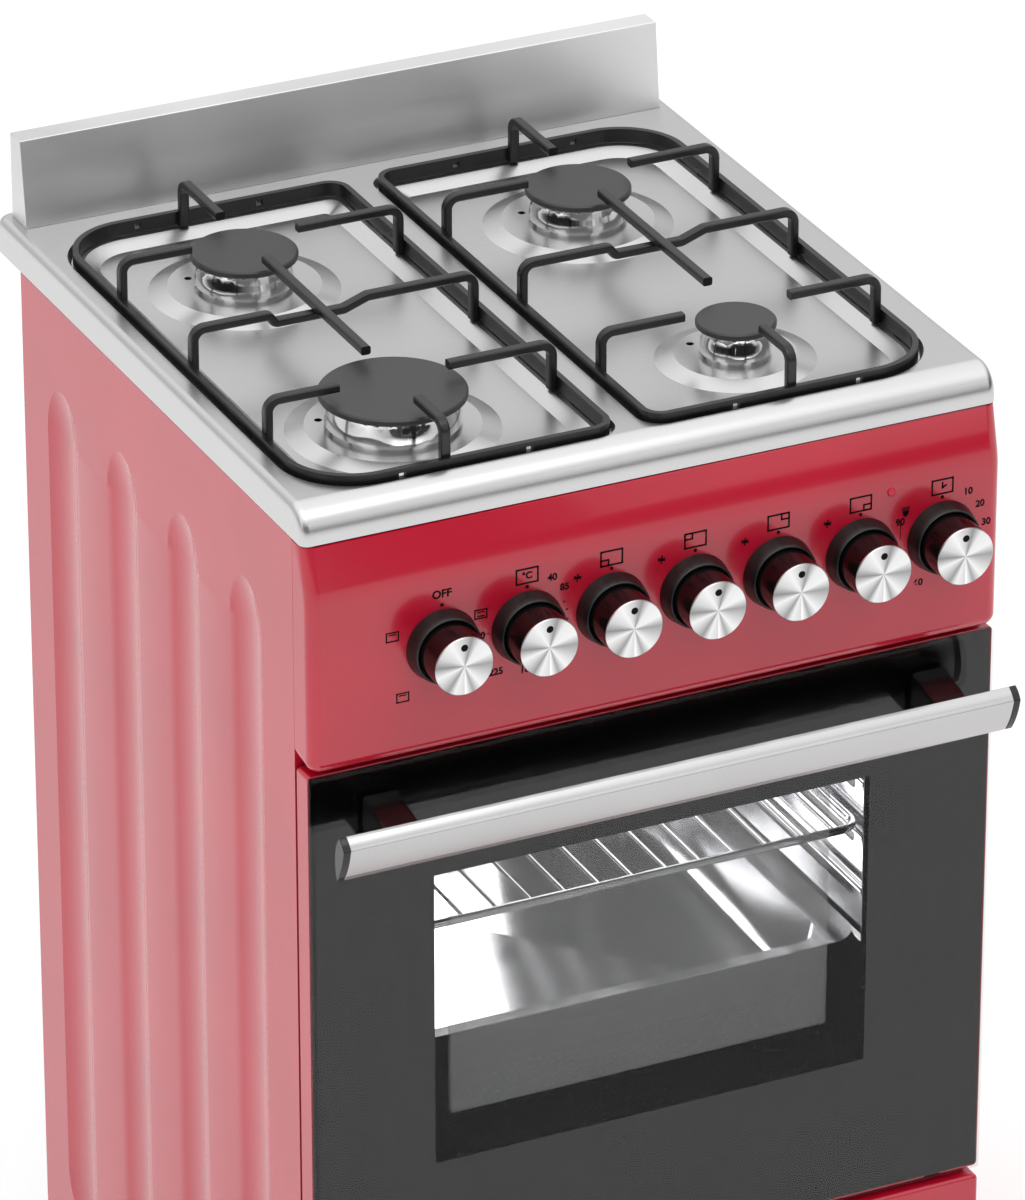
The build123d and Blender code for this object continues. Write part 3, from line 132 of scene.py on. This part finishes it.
def brushedSteel(name, dark, light, lowRough, highRough, sizes, relief):
    # stainless sheet ground with a belt: fine lines one way, and a slow drift in how clean it is
    material, shader, place = startMaterial(name, {"Metallic": 1.0})
    grain = noise(material, stretched(material, place, sizes), 3, 0.6)
    drift = noise(material, stretched(material, place, (140, 140, 140)), 2)
    link(material, tint(material, remap(material, drift, 0, 1), dark, light), shader, "Base Color")
    link(material, remap(material, grain, lowRough, highRough), shader, "Roughness")
    bump(material, shader, grain, relief, 0.6)
    return material


def castPowder(name, dark, light, roughness, grainSize, relief):
    # fired or powder coated metal: dark, half shiny, with a fine pebbled skin
    material, shader, place = startMaterial(name, {"IOR": 1.52})
    pebble = noise(material, stretched(material, place, (grainSize,) * 3), 2)
    worn = noise(material, stretched(material, place, (25, 25, 25)), 3)
    link(material, tint(material, remap(material, worn, 0, 1), dark, light), shader, "Base Color")
    link(material, remap(material, worn, roughness - 0.04, roughness + 0.06), shader, "Roughness")
    bump(material, shader, pebble, relief, 0.5)
    return material


def polishedMetal(name, dark, light, lowRough, highRough, cell, relief):
    # bare metal, turned or cast and then buffed: a clear reflection with faint hazy patches
    material, shader, place = startMaterial(name, {"Metallic": 1.0})
    haze = noise(material, stretched(material, place, (cell, cell, cell)), 3)
    link(material, tint(material, remap(material, haze, 0, 1), dark, light), shader, "Base Color")
    link(material, remap(material, haze, lowRough, highRough), shader, "Roughness")
    bump(material, shader, haze, relief, 0.4)
    return material


def mouldedPlastic(name, dark, light, roughness, grainSize, relief, index=1.5):
    # injection moulded thermoplastic: even colour, with the mould's fine grain
    material, shader, place = startMaterial(name, {"IOR": index})
    skin = noise(material, stretched(material, place, (grainSize,) * 3), 2)
    patch = noise(material, stretched(material, place, (18, 18, 18)), 2)
    link(material, tint(material, remap(material, patch, 0, 1), dark, light), shader, "Base Color")
    link(material, remap(material, patch, roughness - 0.03, roughness + 0.03), shader, "Roughness")
    bump(material, shader, skin, relief, 0.4)
    return material


def sodaGlass(name, colour, body, gloss):
    # toughened float glass: smooth, with a faint roller wave. It is drawn as a thin clear skin, so its index is
    # raised until the part that isn't clear mirrors as much as glass of index 1.5 does
    values = {"Base Color": toLinear(colour), "Roughness": 0.02, "IOR": gloss, "Alpha": body}
    material, shader, place = startMaterial(name, values)
    bump(material, shader, noise(material, stretched(material, place, (60, 60, 60)), 1), 0.01, 0.2)
    return material


def speckledEnamel(name, ground, speck):
    # ground coat enamel of the oven: black with pale specks about a millimetre across
    material, shader, place = startMaterial(name, {"IOR": 1.55, "Roughness": 0.22, "Coat Weight": 0.2})
    dots = noise(material, stretched(material, place, (1.6, 1.6, 1.6)), 1)
    values = {"From Min": 0.62, "From Max": 0.68, "To Min": 0.0, "To Max": 1.0}
    mask = addNode(material, "ShaderNodeMapRange", values=values, links={"Value": dots}).outputs["Result"]
    link(material, tint(material, mask, ground, speck), shader, "Base Color")
    bump(material, shader, dots, 0.03, 0.3)
    return material


def spunFace(name, centreX, centreZ, look):
    # spun aluminium: rings too fine to see turn the light into pale and dark sectors round the centre; here those
    # sectors are painted into the base colour as painted reflection, and the rings are only a faint bump
    material, shader, place = startMaterial(name, {"Metallic": 1.0, "Roughness": look["roughness"]})
    away = {"Location": (-centreX, 0, -centreZ)}
    centred = addNode(material, "ShaderNodeMapping", values=away, links={"Vector": place})
    parts = addNode(material, "ShaderNodeSeparateXYZ", links={"Vector": centred.outputs["Vector"]})
    sides = {0: parts.outputs["X"], 1: parts.outputs["Z"]}
    angle = addNode(material, "ShaderNodeMath", {"operation": "ARCTAN2"}, links=sides)
    circle = {"From Min": -math.pi, "From Max": math.pi}
    ramp = addNode(material, "ShaderNodeMapRange", values=circle, links={"Value": angle.outputs[0]})
    # painted reflection: pale and dark base colour set by angle round the knob's centre
    paintedReflectionWedges = addNode(material, "ShaderNodeValToRGB", links={"Fac": ramp.outputs["Result"]})
    stops = paintedReflectionWedges.color_ramp.elements
    for spot, shade in look["paintedReflectionWedges"]:
        stop = stops.new(spot)
        stop.color = toLinear(shade)
    stops.remove(stops[0])
    stops.remove(stops[len(stops) - 1])
    link(material, paintedReflectionWedges.outputs["Color"], shader, "Base Color")
    radius = addNode(material, "ShaderNodeVectorMath", {"operation": "LENGTH"}, links={0: centred.outputs["Vector"]})
    turns = {1: 2 * math.pi / mm(look["ringStep"])}
    phase = addNode(material, "ShaderNodeMath", {"operation": "MULTIPLY"}, turns, {0: radius.outputs["Value"]})
    rings = addNode(material, "ShaderNodeMath", {"operation": "SINE"}, links={0: phase.outputs[0]})
    bump(material, shader, rings.outputs[0], look["ringRelief"], 0.3)
    return material


def woolBlanket(name, dark, light):
    # mineral wool batt: matted fibres a few millimetres long
    material, shader, place = startMaterial(name, {"Roughness": 0.95, "Sheen Weight": 0.2})
    fibres = noise(material, stretched(material, place, (3, 3, 14)), 6, 0.7)
    link(material, tint(material, remap(material, fibres, 0, 1), dark, light), shader, "Base Color")
    bump(material, shader, fibres, 1.2, 0.8)
    return material


redEnamel = vitreousEnamel("red_vitreous_enamel", "#B70E2C", "#C01231", 0.20, 0.002)
hobSteel = brushedSteel("satin_stainless_steel", "#CBCBCB", "#CECECE", 0.27, 0.31, (90, 0.4, 0.4), 0.0004)
splashSteel = brushedSteel("brushed_stainless_steel", "#D8D8D8", "#EAEAEA", 0.40, 0.48, (90, 0.6, 0.6), 0.0015)
galvanisedSteel = polishedMetal("galvanised_steel", "#9EA2A4", "#B9BDBF", 0.35, 0.55, 22, 0.02)
blackEnamel = speckledEnamel("black_ground_coat_enamel", "#0B0B0D", "#55585C")
grateEnamel = castPowder("matt_black_grate_enamel", "#0E0E0E", "#161616", 0.30, 1.6, 0.04)
capEnamel = castPowder("matt_black_cap_enamel", "#2E2E2E", "#363636", 0.42, 1.1, 0.015)
burnerAluminium = polishedMetal("polished_cast_aluminium", "#EAEAEA", "#EDEDED", 0.04, 0.09, 14, 0.006)
chromedSteel = polishedMetal("chromed_steel_wire", "#C9C9CB", "#E2E2E4", 0.10, 0.18, 30, 0.005)
traySteel = polishedMetal("tinned_steel_tray", "#BDBDBF", "#CCCCCE", 0.12, 0.18, 45, 0.003)
valveBrass = polishedMetal("machined_brass", "#B98F46", "#CDA55B", 0.22, 0.36, 12, 0.01)
tubeAluminium = polishedMetal("drawn_aluminium_tube", "#BFC1C3", "#D0D2D4", 0.26, 0.38, 20, 0.01)
pipeSteel = polishedMetal("zinc_plated_steel_pipe", "#9B9C96", "#B4B5AE", 0.30, 0.44, 18, 0.01)
handleAluminium = brushedSteel("satin_anodised_aluminium", "#BEBEBE", "#C3C3C3", 0.20, 0.25, (90, 0.5, 0.5), 0.0006)
glossPlastic = mouldedPlastic("gloss_black_phenolic", "#0B0A0A", "#121010", 0.16, 0.8, 0.004)
satinPlastic = mouldedPlastic("satin_black_nylon", "#141414", "#1C1C1C", 0.34, 0.8, 0.01)
blackRubber = mouldedPlastic("black_silicone_rubber", "#101010", "#191919", 0.6, 0.6, 0.02)
panelInk = mouldedPlastic("black_screen_print", "#050404", "#080606", 0.6, 0.5, 0.002, 1.2)
glassInk = mouldedPlastic("black_ceramic_print", "#060606", "#0A0A0A", 0.06, 0.5, 0.0, 1.6)
doorGlassFloat = sodaGlass("grey_float_glass", "#0A0B0B", 0.10, 1.9)
# the inner pane's pale grey colour is a painted reflection: the haze over the oven's inside
innerGlassPaintedReflection = sodaGlass("clear_float_glass_painted_reflection", "#9A9C9B", 0.27, 1.9)
lampGlass = sodaGlass("pressed_lamp_glass", "#D9D6C8", 0.6, 1.6)
redLens = sodaGlass("red_acrylic_lens", "#D8203C", 0.85, 1.5)
mineralWool = woolBlanket("mineral_wool", "#A79A62", "#D2C791")
electrodeCeramic = mouldedPlastic("white_alumina_ceramic", "#D8D4CA", "#E8E5DC", 0.35, 0.6, 0.01)
print("materials made")

# which node wears what
nodeLooks = {
    "side_panel_left": redEnamel, "side_panel_right": redEnamel, "control_panel": redEnamel,
    "door_frame": redEnamel, "drawer_front": redEnamel,
    "back_panel": galvanisedSteel, "base_frame": galvanisedSteel, "hinge_arms": galvanisedSteel,
    "door_hinges": galvanisedSteel, "drawer_box": galvanisedSteel,
    "front_frame": blackEnamel, "oven_cavity": blackEnamel, "door_liner": blackEnamel,
    "side_racks": chromedSteel, "wire_shelf": chromedSteel, "oven_heaters": pipeSteel, "baking_tray": traySteel,
    "oven_insulation": mineralWool, "oven_lamp": lampGlass, "door_seal": blackRubber,
    "hob_top": hobSteel, "splashback": splashSteel,
    "burner_cups": burnerAluminium, "burner_heads": burnerAluminium, "burner_caps": capEnamel,
    "spark_electrodes": electrodeCeramic,
    "grate_left": grateEnamel, "grate_right": grateEnamel,
    "grate_pads_left": blackRubber, "grate_pads_right": blackRubber,
    "indicator_lamp": redLens, "knob_bezels": satinPlastic,
    "gas_taps": valveBrass, "gas_manifold": pipeSteel, "gas_supply_tubes": tubeAluminium,
    "oven_controls": satinPlastic, "feet": satinPlastic,
    "door_glass": doorGlassFloat, "door_inner_glass": innerGlassPaintedReflection,
    "handle_bar": handleAluminium, "handle_end_caps": glossPlastic, "handle_brackets": glossPlastic,
}
knobNames = ["selector", "thermostat", "front_left", "rear_left", "rear_right", "front_right", "timer"]
for knobName in knobNames:
    nodeLooks[f"{knobName}_knob"] = glossPlastic
    nodeLooks[f"{knobName}_knob_face"] = None
    if f"{knobName}_tap_plug" in nodes:
        nodeLooks[f"{knobName}_tap_plug"] = valveBrass


def wear(piece, material):
    piece.data.materials.clear()
    piece.data.materials.append(material)


def addPiece(name, shape, material, body):
    # a finished mesh object at the origin that rides on a body
    mesh = bpy.data.meshes.new(name)
    shape.to_mesh(mesh)
    shape.free()
    piece = bpy.data.objects.new(name, mesh)
    bpy.context.scene.collection.objects.link(piece)
    wear(piece, material)
    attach(piece, body)
    return piece


def smoothBy(piece, degreesLimit):
    piece.data.shade_smooth()
    piece.data.set_sharp_from_angle(angle=math.radians(degreesLimit))


merging = {"distance": 0.002, "flatAngle": 0.4, "bevelSteps": 2}


def refined(nodeName, edge, sharpAngle, bevelAngle, joinFlats):
    # the node's own shape, merged, with its sheared edges broken so that they catch the light;
    # flats with a hole through them keep their triangles
    shape = bmesh.new()
    shape.from_mesh(nodes[nodeName].data)
    bmesh.ops.remove_doubles(shape, verts=shape.verts, dist=mm(merging["distance"]))
    if joinFlats:
        flat = math.radians(merging["flatAngle"])
        bmesh.ops.dissolve_limit(shape, angle_limit=flat, verts=shape.verts, edges=shape.edges)
    piece = addPiece(f"{nodeName}_finished", shape, nodeLooks[nodeName], bodyOfNode[nodeName])
    smoothBy(piece, sharpAngle)
    if edge:
        bevel = piece.modifiers.new("edge", "BEVEL")
        bevel.width = mm(edge)
        bevel.segments = merging["bevelSteps"]
        bevel.limit_method = "ANGLE"
        bevel.angle_limit = math.radians(bevelAngle)
        bevel.harden_normals = True
    settle = piece.modifiers.new("flats", "WEIGHTED_NORMAL")
    settle.keep_sharp = True
    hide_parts(nodeName)
    return piece


for nodeName, look in nodeLooks.items():
    if look:
        wear(nodes[nodeName], look)

finishing = {
    # node: width of the broken edge in mm, angle that stays sharp, angle that is broken, flats joined
    "side_panel_left": (0.0, 9, 60, False), "side_panel_right": (0.0, 9, 60, False),
    "control_panel": (0.0, 35, 40, False), "drawer_front": (0.0, 35, 40, False), "door_frame": (0.0, 35, 40, False),
    "hob_top": (0.9, 40, 16, True), "splashback": (0.8, 35, 40, True),
    "burner_heads": (0.25, 40, 50, True), "burner_caps": (0.3, 35, 40, True),
    "grate_left": (0.25, 40, 50, True), "grate_right": (0.25, 40, 50, True),
    "knob_bezels": (0.3, 30, 35, False), "handle_bar": (0.4, 25, 28, True), "handle_end_caps": (0.5, 30, 28, True),
    "handle_brackets": (0.3, 30, 40, True), "baking_tray": (0.0, 30, 40, False), "wire_shelf": (0.0, 40, 60, False),
    "door_seal": (0.0, 40, 60, False), "oven_cavity": (0.0, 35, 60, False), "side_racks": (0.0, 35, 50, False),
    "feet": (0.0, 35, 50, True), "gas_manifold": (0.0, 35, 50, False), "oven_heaters": (0.0, 40, 60, False),
}
for knobName in knobNames:
    finishing[f"{knobName}_knob"] = (0.35, 30, 45, True)
for nodeName, (edge, sharpAngle, bevelAngle, joinFlats) in finishing.items():
    refined(nodeName, edge, sharpAngle, bevelAngle, joinFlats)
print("CAD nodes finished:", len(finishing))

# knob faces, their pointer dots and the panel's printing
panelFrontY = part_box("knob_bezels")[1][1]
# the wedge greys below are painted reflection, laid round each knob's centre
knobFace = {
    "roughness": 0.3, "ringStep": 0.5, "ringRelief": 0.01,
    "paintedReflectionWedges": [(0.0, "#D2D2D2"), (0.06, "#E8E8E8"), (0.10, "#969696"), (0.14, "#BEBEBE"), (0.21, "#EAEAEA"), (0.27, "#8C8C8C"),
               (0.33, "#CECECE"), (0.42, "#ECECEC"), (0.50, "#C2C2C2"), (0.545, "#919191"), (0.60, "#E2E2E2"),
               (0.70, "#EAEAEA"), (0.76, "#9D9D9D"), (0.82, "#C4C4C4"), (0.90, "#ECECEC"), (0.95, "#A0A0A0"), (1.0, "#D2D2D2")],
    "dotRadius": 2.5, "dotRise": 13.2, "dotDepth": 0.42, "dotSink": 0.2,
}
facingFront = Matrix.Rotation(math.radians(90), 4, "X")
knobCentres = {}
for knobName in knobNames:
    low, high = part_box(f"{knobName}_knob_face")
    knobCentres[knobName] = ((low[0] + high[0]) / 2, (low[2] + high[2]) / 2)
    centreX, centreZ = knobCentres[knobName]
    wear(nodes[f"{knobName}_knob_face"], spunFace(f"spun_aluminium_{knobName}", centreX, centreZ, knobFace))
    dot = bmesh.new()
    spot = Matrix.Translation((centreX, low[1] + mm(knobFace["dotSink"]), centreZ + mm(knobFace["dotRise"])))
    dotRadius = mm(knobFace["dotRadius"])
    bmesh.ops.create_cone(dot, cap_ends=True, segments=32, radius1=dotRadius, radius2=dotRadius,
                          depth=mm(knobFace["dotDepth"]), matrix=spot @ facingFront)
    addPiece(f"{knobName}_pointer", dot, panelInk, bodyOfNode[f"{knobName}_knob_face"])

marks = {
    "inkDepth": 0.14, "line": 1.15, "dotRadius": 1.25, "dotRise": 28.5, "boxRise": 36.2, "boxSize": (15.3, 10.2),
    "offHeight": 5.8, "digitHeight": 5.0, "sizeToHeight": 1.35, "boldness": 0.22,
}


def inkBar(shape, startX, startZ, endX, endZ, width):
    # a flat printed stroke from one point to another, in millimetres
    middle = Vector(((startX + endX) / 2, 0, (startZ + endZ) / 2))
    length = math.hypot(endX - startX, endZ - startZ) + width
    turn = Matrix.Rotation(-math.atan2(endZ - startZ, endX - startX), 4, "Y")
    size = Matrix.Diagonal((mm(length), mm(marks["inkDepth"] * 2), mm(width), 1))
    place = Matrix.Translation((mm(middle.x), panelFrontY, mm(middle.z)))
    bmesh.ops.create_cube(shape, size=1, matrix=place @ turn @ size)


def inkFrame(shape, centreX, centreZ, wide, high, width):
    for side in (-1, 1):
        inkBar(shape, centreX - wide / 2, centreZ + side * high / 2, centreX + wide / 2, centreZ + side * high / 2, width)
        inkBar(shape, centreX + side * wide / 2, centreZ - high / 2, centreX + side * wide / 2, centreZ + high / 2, width)


def inkDot(shape, centreX, centreZ, radius, sides=20):
    place = Matrix.Translation((mm(centreX), panelFrontY, mm(centreZ))) @ facingFront
    bmesh.ops.create_cone(shape, cap_ends=True, segments=sides, radius1=mm(radius), radius2=mm(radius),
                          depth=mm(marks["inkDepth"] * 2), matrix=place)


def inkWord(shape, words, centreX, centreZ, height):
    # figures and plain words in the built-in typeface
    curve = bpy.data.curves.new("figures", "FONT")
    curve.body = words
    curve.size = mm(height * marks["sizeToHeight"])
    curve.align_x = "CENTER"
    curve.align_y = "CENTER"
    curve.extrude = mm(marks["inkDepth"])
    curve.offset = mm(marks["boldness"])
    holder = bpy.data.objects.new("figures", curve)
    bpy.context.scene.collection.objects.link(holder)
    bpy.context.view_layer.update()
    mesh = bpy.data.meshes.new_from_object(holder.evaluated_get(bpy.context.evaluated_depsgraph_get()))
    mesh.transform(Matrix.Translation((mm(centreX), panelFrontY, mm(centreZ))) @ facingFront)
    shape.from_mesh(mesh)
    bpy.data.objects.remove(holder)
    bpy.data.curves.remove(curve)
    bpy.data.meshes.remove(mesh)


def inkFlame(shape, centreX, centreZ, size):
    inkDot(shape, centreX, centreZ, size * 0.42, 14)
    inkBar(shape, centreX - size * 0.2, centreZ + size * 0.2, centreX + size * 0.1, centreZ + size * 0.85, size * 0.34)


def inkSpark(shape, centreX, centreZ, size):
    for turn in (10, 82, 154):
        reachX = size * math.cos(math.radians(turn))
        reachZ = size * math.sin(math.radians(turn))
        inkBar(shape, centreX - reachX, centreZ - reachZ, centreX + reachX, centreZ + reachZ, 1.1)


def inkScale(shape, knobX, knobZ, figures):
    for figure, degrees, reach in figures:
        turn = math.radians(degrees)
        inkWord(shape, figure, knobX + reach * math.sin(turn), knobZ + reach * math.cos(turn), marks["digitHeight"])


# figure, degrees clockwise from the top, distance from the knob's middle in mm
heatScale = [("40", 30, 36.0), ("85", 50, 35.0), ("180", 180, 31.0), ("225", -142, 36.0), ("250", -90, 35.0)]
minuteScale = [("10", 34, 34.5), ("20", 58, 33.5), ("30", 84, 33.5), ("40", 112, 33.5), ("50", 142, 34.0),
               ("60", -152, 35.0), ("70", -124, 36.5), ("90", -62, 35.0)]
printing = bmesh.new()
line = marks["line"]
for knobName in knobNames:
    knobX, knobZ = (1000 * value for value in knobCentres[knobName])
    inkDot(printing, knobX, knobZ + marks["dotRise"], marks["dotRadius"])
    boxZ = knobZ + marks["boxRise"]
    wide, high = marks["boxSize"]
    if knobName != "selector":
        inkFrame(printing, knobX, boxZ, wide, high, line)
    if "_" in knobName:
        # hob plan with the burner's corner marked, the spark and the low flame
        sideX = -1 if "left" in knobName else 1
        sideZ = -1 if "front" in knobName else 1
        inkFrame(printing, knobX + sideX * (wide / 2 - 2.7), boxZ + sideZ * (high / 2 - 2.0), 5.4, 4.0, line)
        inkSpark(printing, knobX - 24.4, knobZ + 27.0, 2.3)
        inkFlame(printing, knobX - 25.0, knobZ - 22.5, 2.9)
        inkBar(printing, knobX - 29.5, knobZ - 16.0, knobX - 26.3, knobZ - 19.4, 0.6)
    if knobName == "selector":
        inkWord(printing, "OFF", knobX, boxZ, marks["offHeight"])
        for iconX, iconZ in ((-35, 13), (-28, -32), (27.5, 16)):
            inkFrame(printing, knobX + iconX, knobZ + iconZ, 8.4, 6.2, 0.9)
            inkBar(printing, knobX + iconX - 2.3, knobZ + iconZ + 1.5, knobX + iconX + 2.3, knobZ + iconZ + 1.5, 0.8)
            if iconX > 0:
                inkBar(printing, knobX + iconX - 2.3, knobZ + iconZ - 1.5, knobX + iconX + 2.3, knobZ + iconZ - 1.5, 0.8)
        inkBar(printing, knobX + 24.5, knobZ + 0.6, knobX + 33.5, knobZ + 0.6, 0.35)
    if knobName == "thermostat":
        inkWord(printing, "°C", knobX, boxZ, 5.0)
        inkScale(printing, knobX, knobZ, heatScale)
        for degrees in (66, 78, 92, 108, 124):
            turn = math.radians(degrees)
            inkDot(printing, knobX + 29.0 * math.sin(turn), knobZ + 29.0 * math.cos(turn), 0.7, 12)
    if knobName == "timer":
        inkBar(printing, knobX, boxZ + 2.6, knobX, boxZ - 1.0, 1.2)
        inkBar(printing, knobX, boxZ - 1.0, knobX + 2.6, boxZ + 0.6, 1.2)
        inkScale(printing, knobX, knobZ, minuteScale)
        inkDot(printing, knobX - 27.0, knobZ + 22.0, 2.1, 16)
        for reach in (-1.8, -0.6, 0.6, 1.8):
            inkBar(printing, knobX - 27.0 + reach, knobZ + 23.0, knobX - 27.0 + reach * 1.3, knobZ + 26.6, 0.9)
        inkBar(printing, knobX - 30.5, knobZ + 4.0, knobX - 30.5, knobZ + 14.0, 0.4)
        inkDot(printing, knobX - 30.5, knobZ + 14.4, 0.8, 12)
addPiece("panel_printing", printing, panelInk, "cabinet")
print("knob faces and printing made")

# black print on the back of the door's outer glass, round a clear window
glassLow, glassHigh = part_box("door_glass")
window = {"wide": 320.0, "high": 217.4, "drop": 92.8, "film": 0.08, "edge": 1.0}
edge = mm(window["edge"])
printZ1 = glassHigh[2] - mm(window["drop"])
printZ0 = printZ1 - mm(window["high"])
halfWindow = mm(window["wide"]) / 2
film = bmesh.new()
outline = [
    ((glassLow[0] + edge, -halfWindow), (glassLow[2] + edge, glassHigh[2] - edge)),
    ((halfWindow, glassHigh[0] - edge), (glassLow[2] + edge, glassHigh[2] - edge)),
    ((-halfWindow, halfWindow), (glassLow[2] + edge, printZ0)),
    ((-halfWindow, halfWindow), (printZ1, glassHigh[2] - edge)),
]
for (x0, x1), (z0, z1) in outline:
    middle = Matrix.Translation(((x0 + x1) / 2, glassHigh[1] + mm(window["film"]) / 2, (z0 + z1) / 2))
    bmesh.ops.create_cube(film, size=1, matrix=middle @ Matrix.Diagonal((x1 - x0, mm(window["film"]), z1 - z0, 1)))
addPiece("door_glass_print", film, glassInk, "door")
print("door print made")

# floor, light and camera
stage = {
    "floor": "#DBDBDB", "floorRough": 0.9, "floorGlow": 0.30, "floorSize": 40, "floorDrop": 0.5,
    "overhead": 1.35, "overheadFrom": 0.30, "overheadFull": 0.80,
    "horizonBack": 0.70, "horizonFront": 0.06, "backFrom": -0.35, "backFull": 0.45, "backdrop": 1.0,
}
floorShape = bmesh.new()
bmesh.ops.create_grid(floorShape, x_segments=1, y_segments=1, size=stage["floorSize"])
floorMesh = bpy.data.meshes.new("studio_floor")
floorShape.to_mesh(floorMesh)
floorShape.free()
floor = bpy.data.objects.new("studio_floor", floorMesh)
bpy.context.scene.collection.objects.link(floor)
floor.location = (0, 0, -mm(stage["floorDrop"]))
paper = {
    "Base Color": toLinear(stage["floor"]), "Roughness": stage["floorRough"],
    "Emission Color": (1, 1, 1, 1), "Emission Strength": stage["floorGlow"],
}
wear(floor, startMaterial("studio_paper", paper)[0])

world = bpy.data.worlds.new("studio")
world.use_nodes = True
bpy.context.scene.world = world
world.node_tree.nodes.clear()
direction = addNode(world, "ShaderNodeTexCoord").outputs["Generated"]
axes = addNode(world, "ShaderNodeSeparateXYZ", links={"Vector": direction})
backLimits = {"From Min": stage["backFrom"], "From Max": stage["backFull"],
              "To Min": stage["horizonFront"], "To Max": stage["horizonBack"]}
smooth = {"interpolation_type": "SMOOTHSTEP"}
backness = addNode(world, "ShaderNodeMapRange", smooth, backLimits, {"Value": axes.outputs["Y"]})
highLimits = {"From Min": stage["overheadFrom"], "From Max": stage["overheadFull"], "To Min": 0.0, "To Max": 1.0}
height = addNode(world, "ShaderNodeMapRange", smooth, highLimits, {"Value": axes.outputs["Z"]})
glow = addNode(world, "ShaderNodeMix", {"data_type": "FLOAT"}, {"B": stage["overhead"]},
               {"Factor": height.outputs["Result"], "A": backness.outputs["Result"]})
direct = addNode(world, "ShaderNodeLightPath").outputs["Is Camera Ray"]
seen = addNode(world, "ShaderNodeMix", {"data_type": "FLOAT"}, {"B": stage["backdrop"]},
               {"Factor": direct, "A": glow.outputs["Result"]})
light = addNode(world, "ShaderNodeBackground", values={"Color": (1, 1, 1, 1)}, links={"Strength": seen.outputs["Result"]})
addNode(world, "ShaderNodeOutputWorld", links={"Surface": light.outputs["Background"]})


def softbox(name, setting):
    lamp = bpy.data.lights.new(name, "AREA")
    lamp.shape = "RECTANGLE"
    lamp.size, lamp.size_y = setting["size"]
    lamp.energy = setting["watts"]
    holder = bpy.data.objects.new(name, lamp)
    place = Vector(setting["place"])
    holder.location = place
    holder.rotation_euler = (Vector(setting["target"]) - place).to_track_quat("-Z", "Y").to_euler()
    holder.visible_camera = False
    bpy.context.scene.collection.objects.link(holder)


# metres; the oven is lit by a pale glow from its back wall and its roof
softboxes = {
    "overhead_softbox": {"place": (-0.2, -1.1, 3.2), "target": (0, 0, 0.6), "size": (2.2, 1.2), "watts": 14},
    "left_softbox": {"place": (-3.0, -1.2, 2.0), "target": (0, 0, 0.5), "size": (1.6, 2.0), "watts": 8},
    "front_softbox": {"place": (1.4, -3.4, 2.2), "target": (0, 0, 0.5), "size": (1.6, 1.6), "watts": 7},
    "oven_back_glow": {"place": (0.02, 0.172, 0.48), "target": (0.02, -0.3, 0.45), "size": (0.12, 0.15), "watts": 0.45},
    "oven_roof_glow": {"place": (0.04, -0.02, 0.59), "target": (0.04, -0.02, 0.3), "size": (0.20, 0.20), "watts": 0.40},
}
for lampName, setting in softboxes.items():
    softbox(lampName, setting)

view = {"place": (-2.1488, -4.5160, 3.1704), "turn": -25.525, "tilt": 26.940, "lens": 248.4}
lens = bpy.data.cameras.new("camera")
lens.lens = view["lens"]
lens.sensor_width = 36.0
lens.sensor_fit = "AUTO"
lens.clip_start = 0.05
camera = bpy.data.objects.new("camera", lens)
camera.location = view["place"]
camera.rotation_euler = (math.radians(90 - view["tilt"]), 0, math.radians(view["turn"]))
bpy.context.scene.collection.objects.link(camera)
bpy.context.scene.camera = camera
bpy.context.scene.view_settings.view_transform = "Standard"
print("stage, light and camera set")
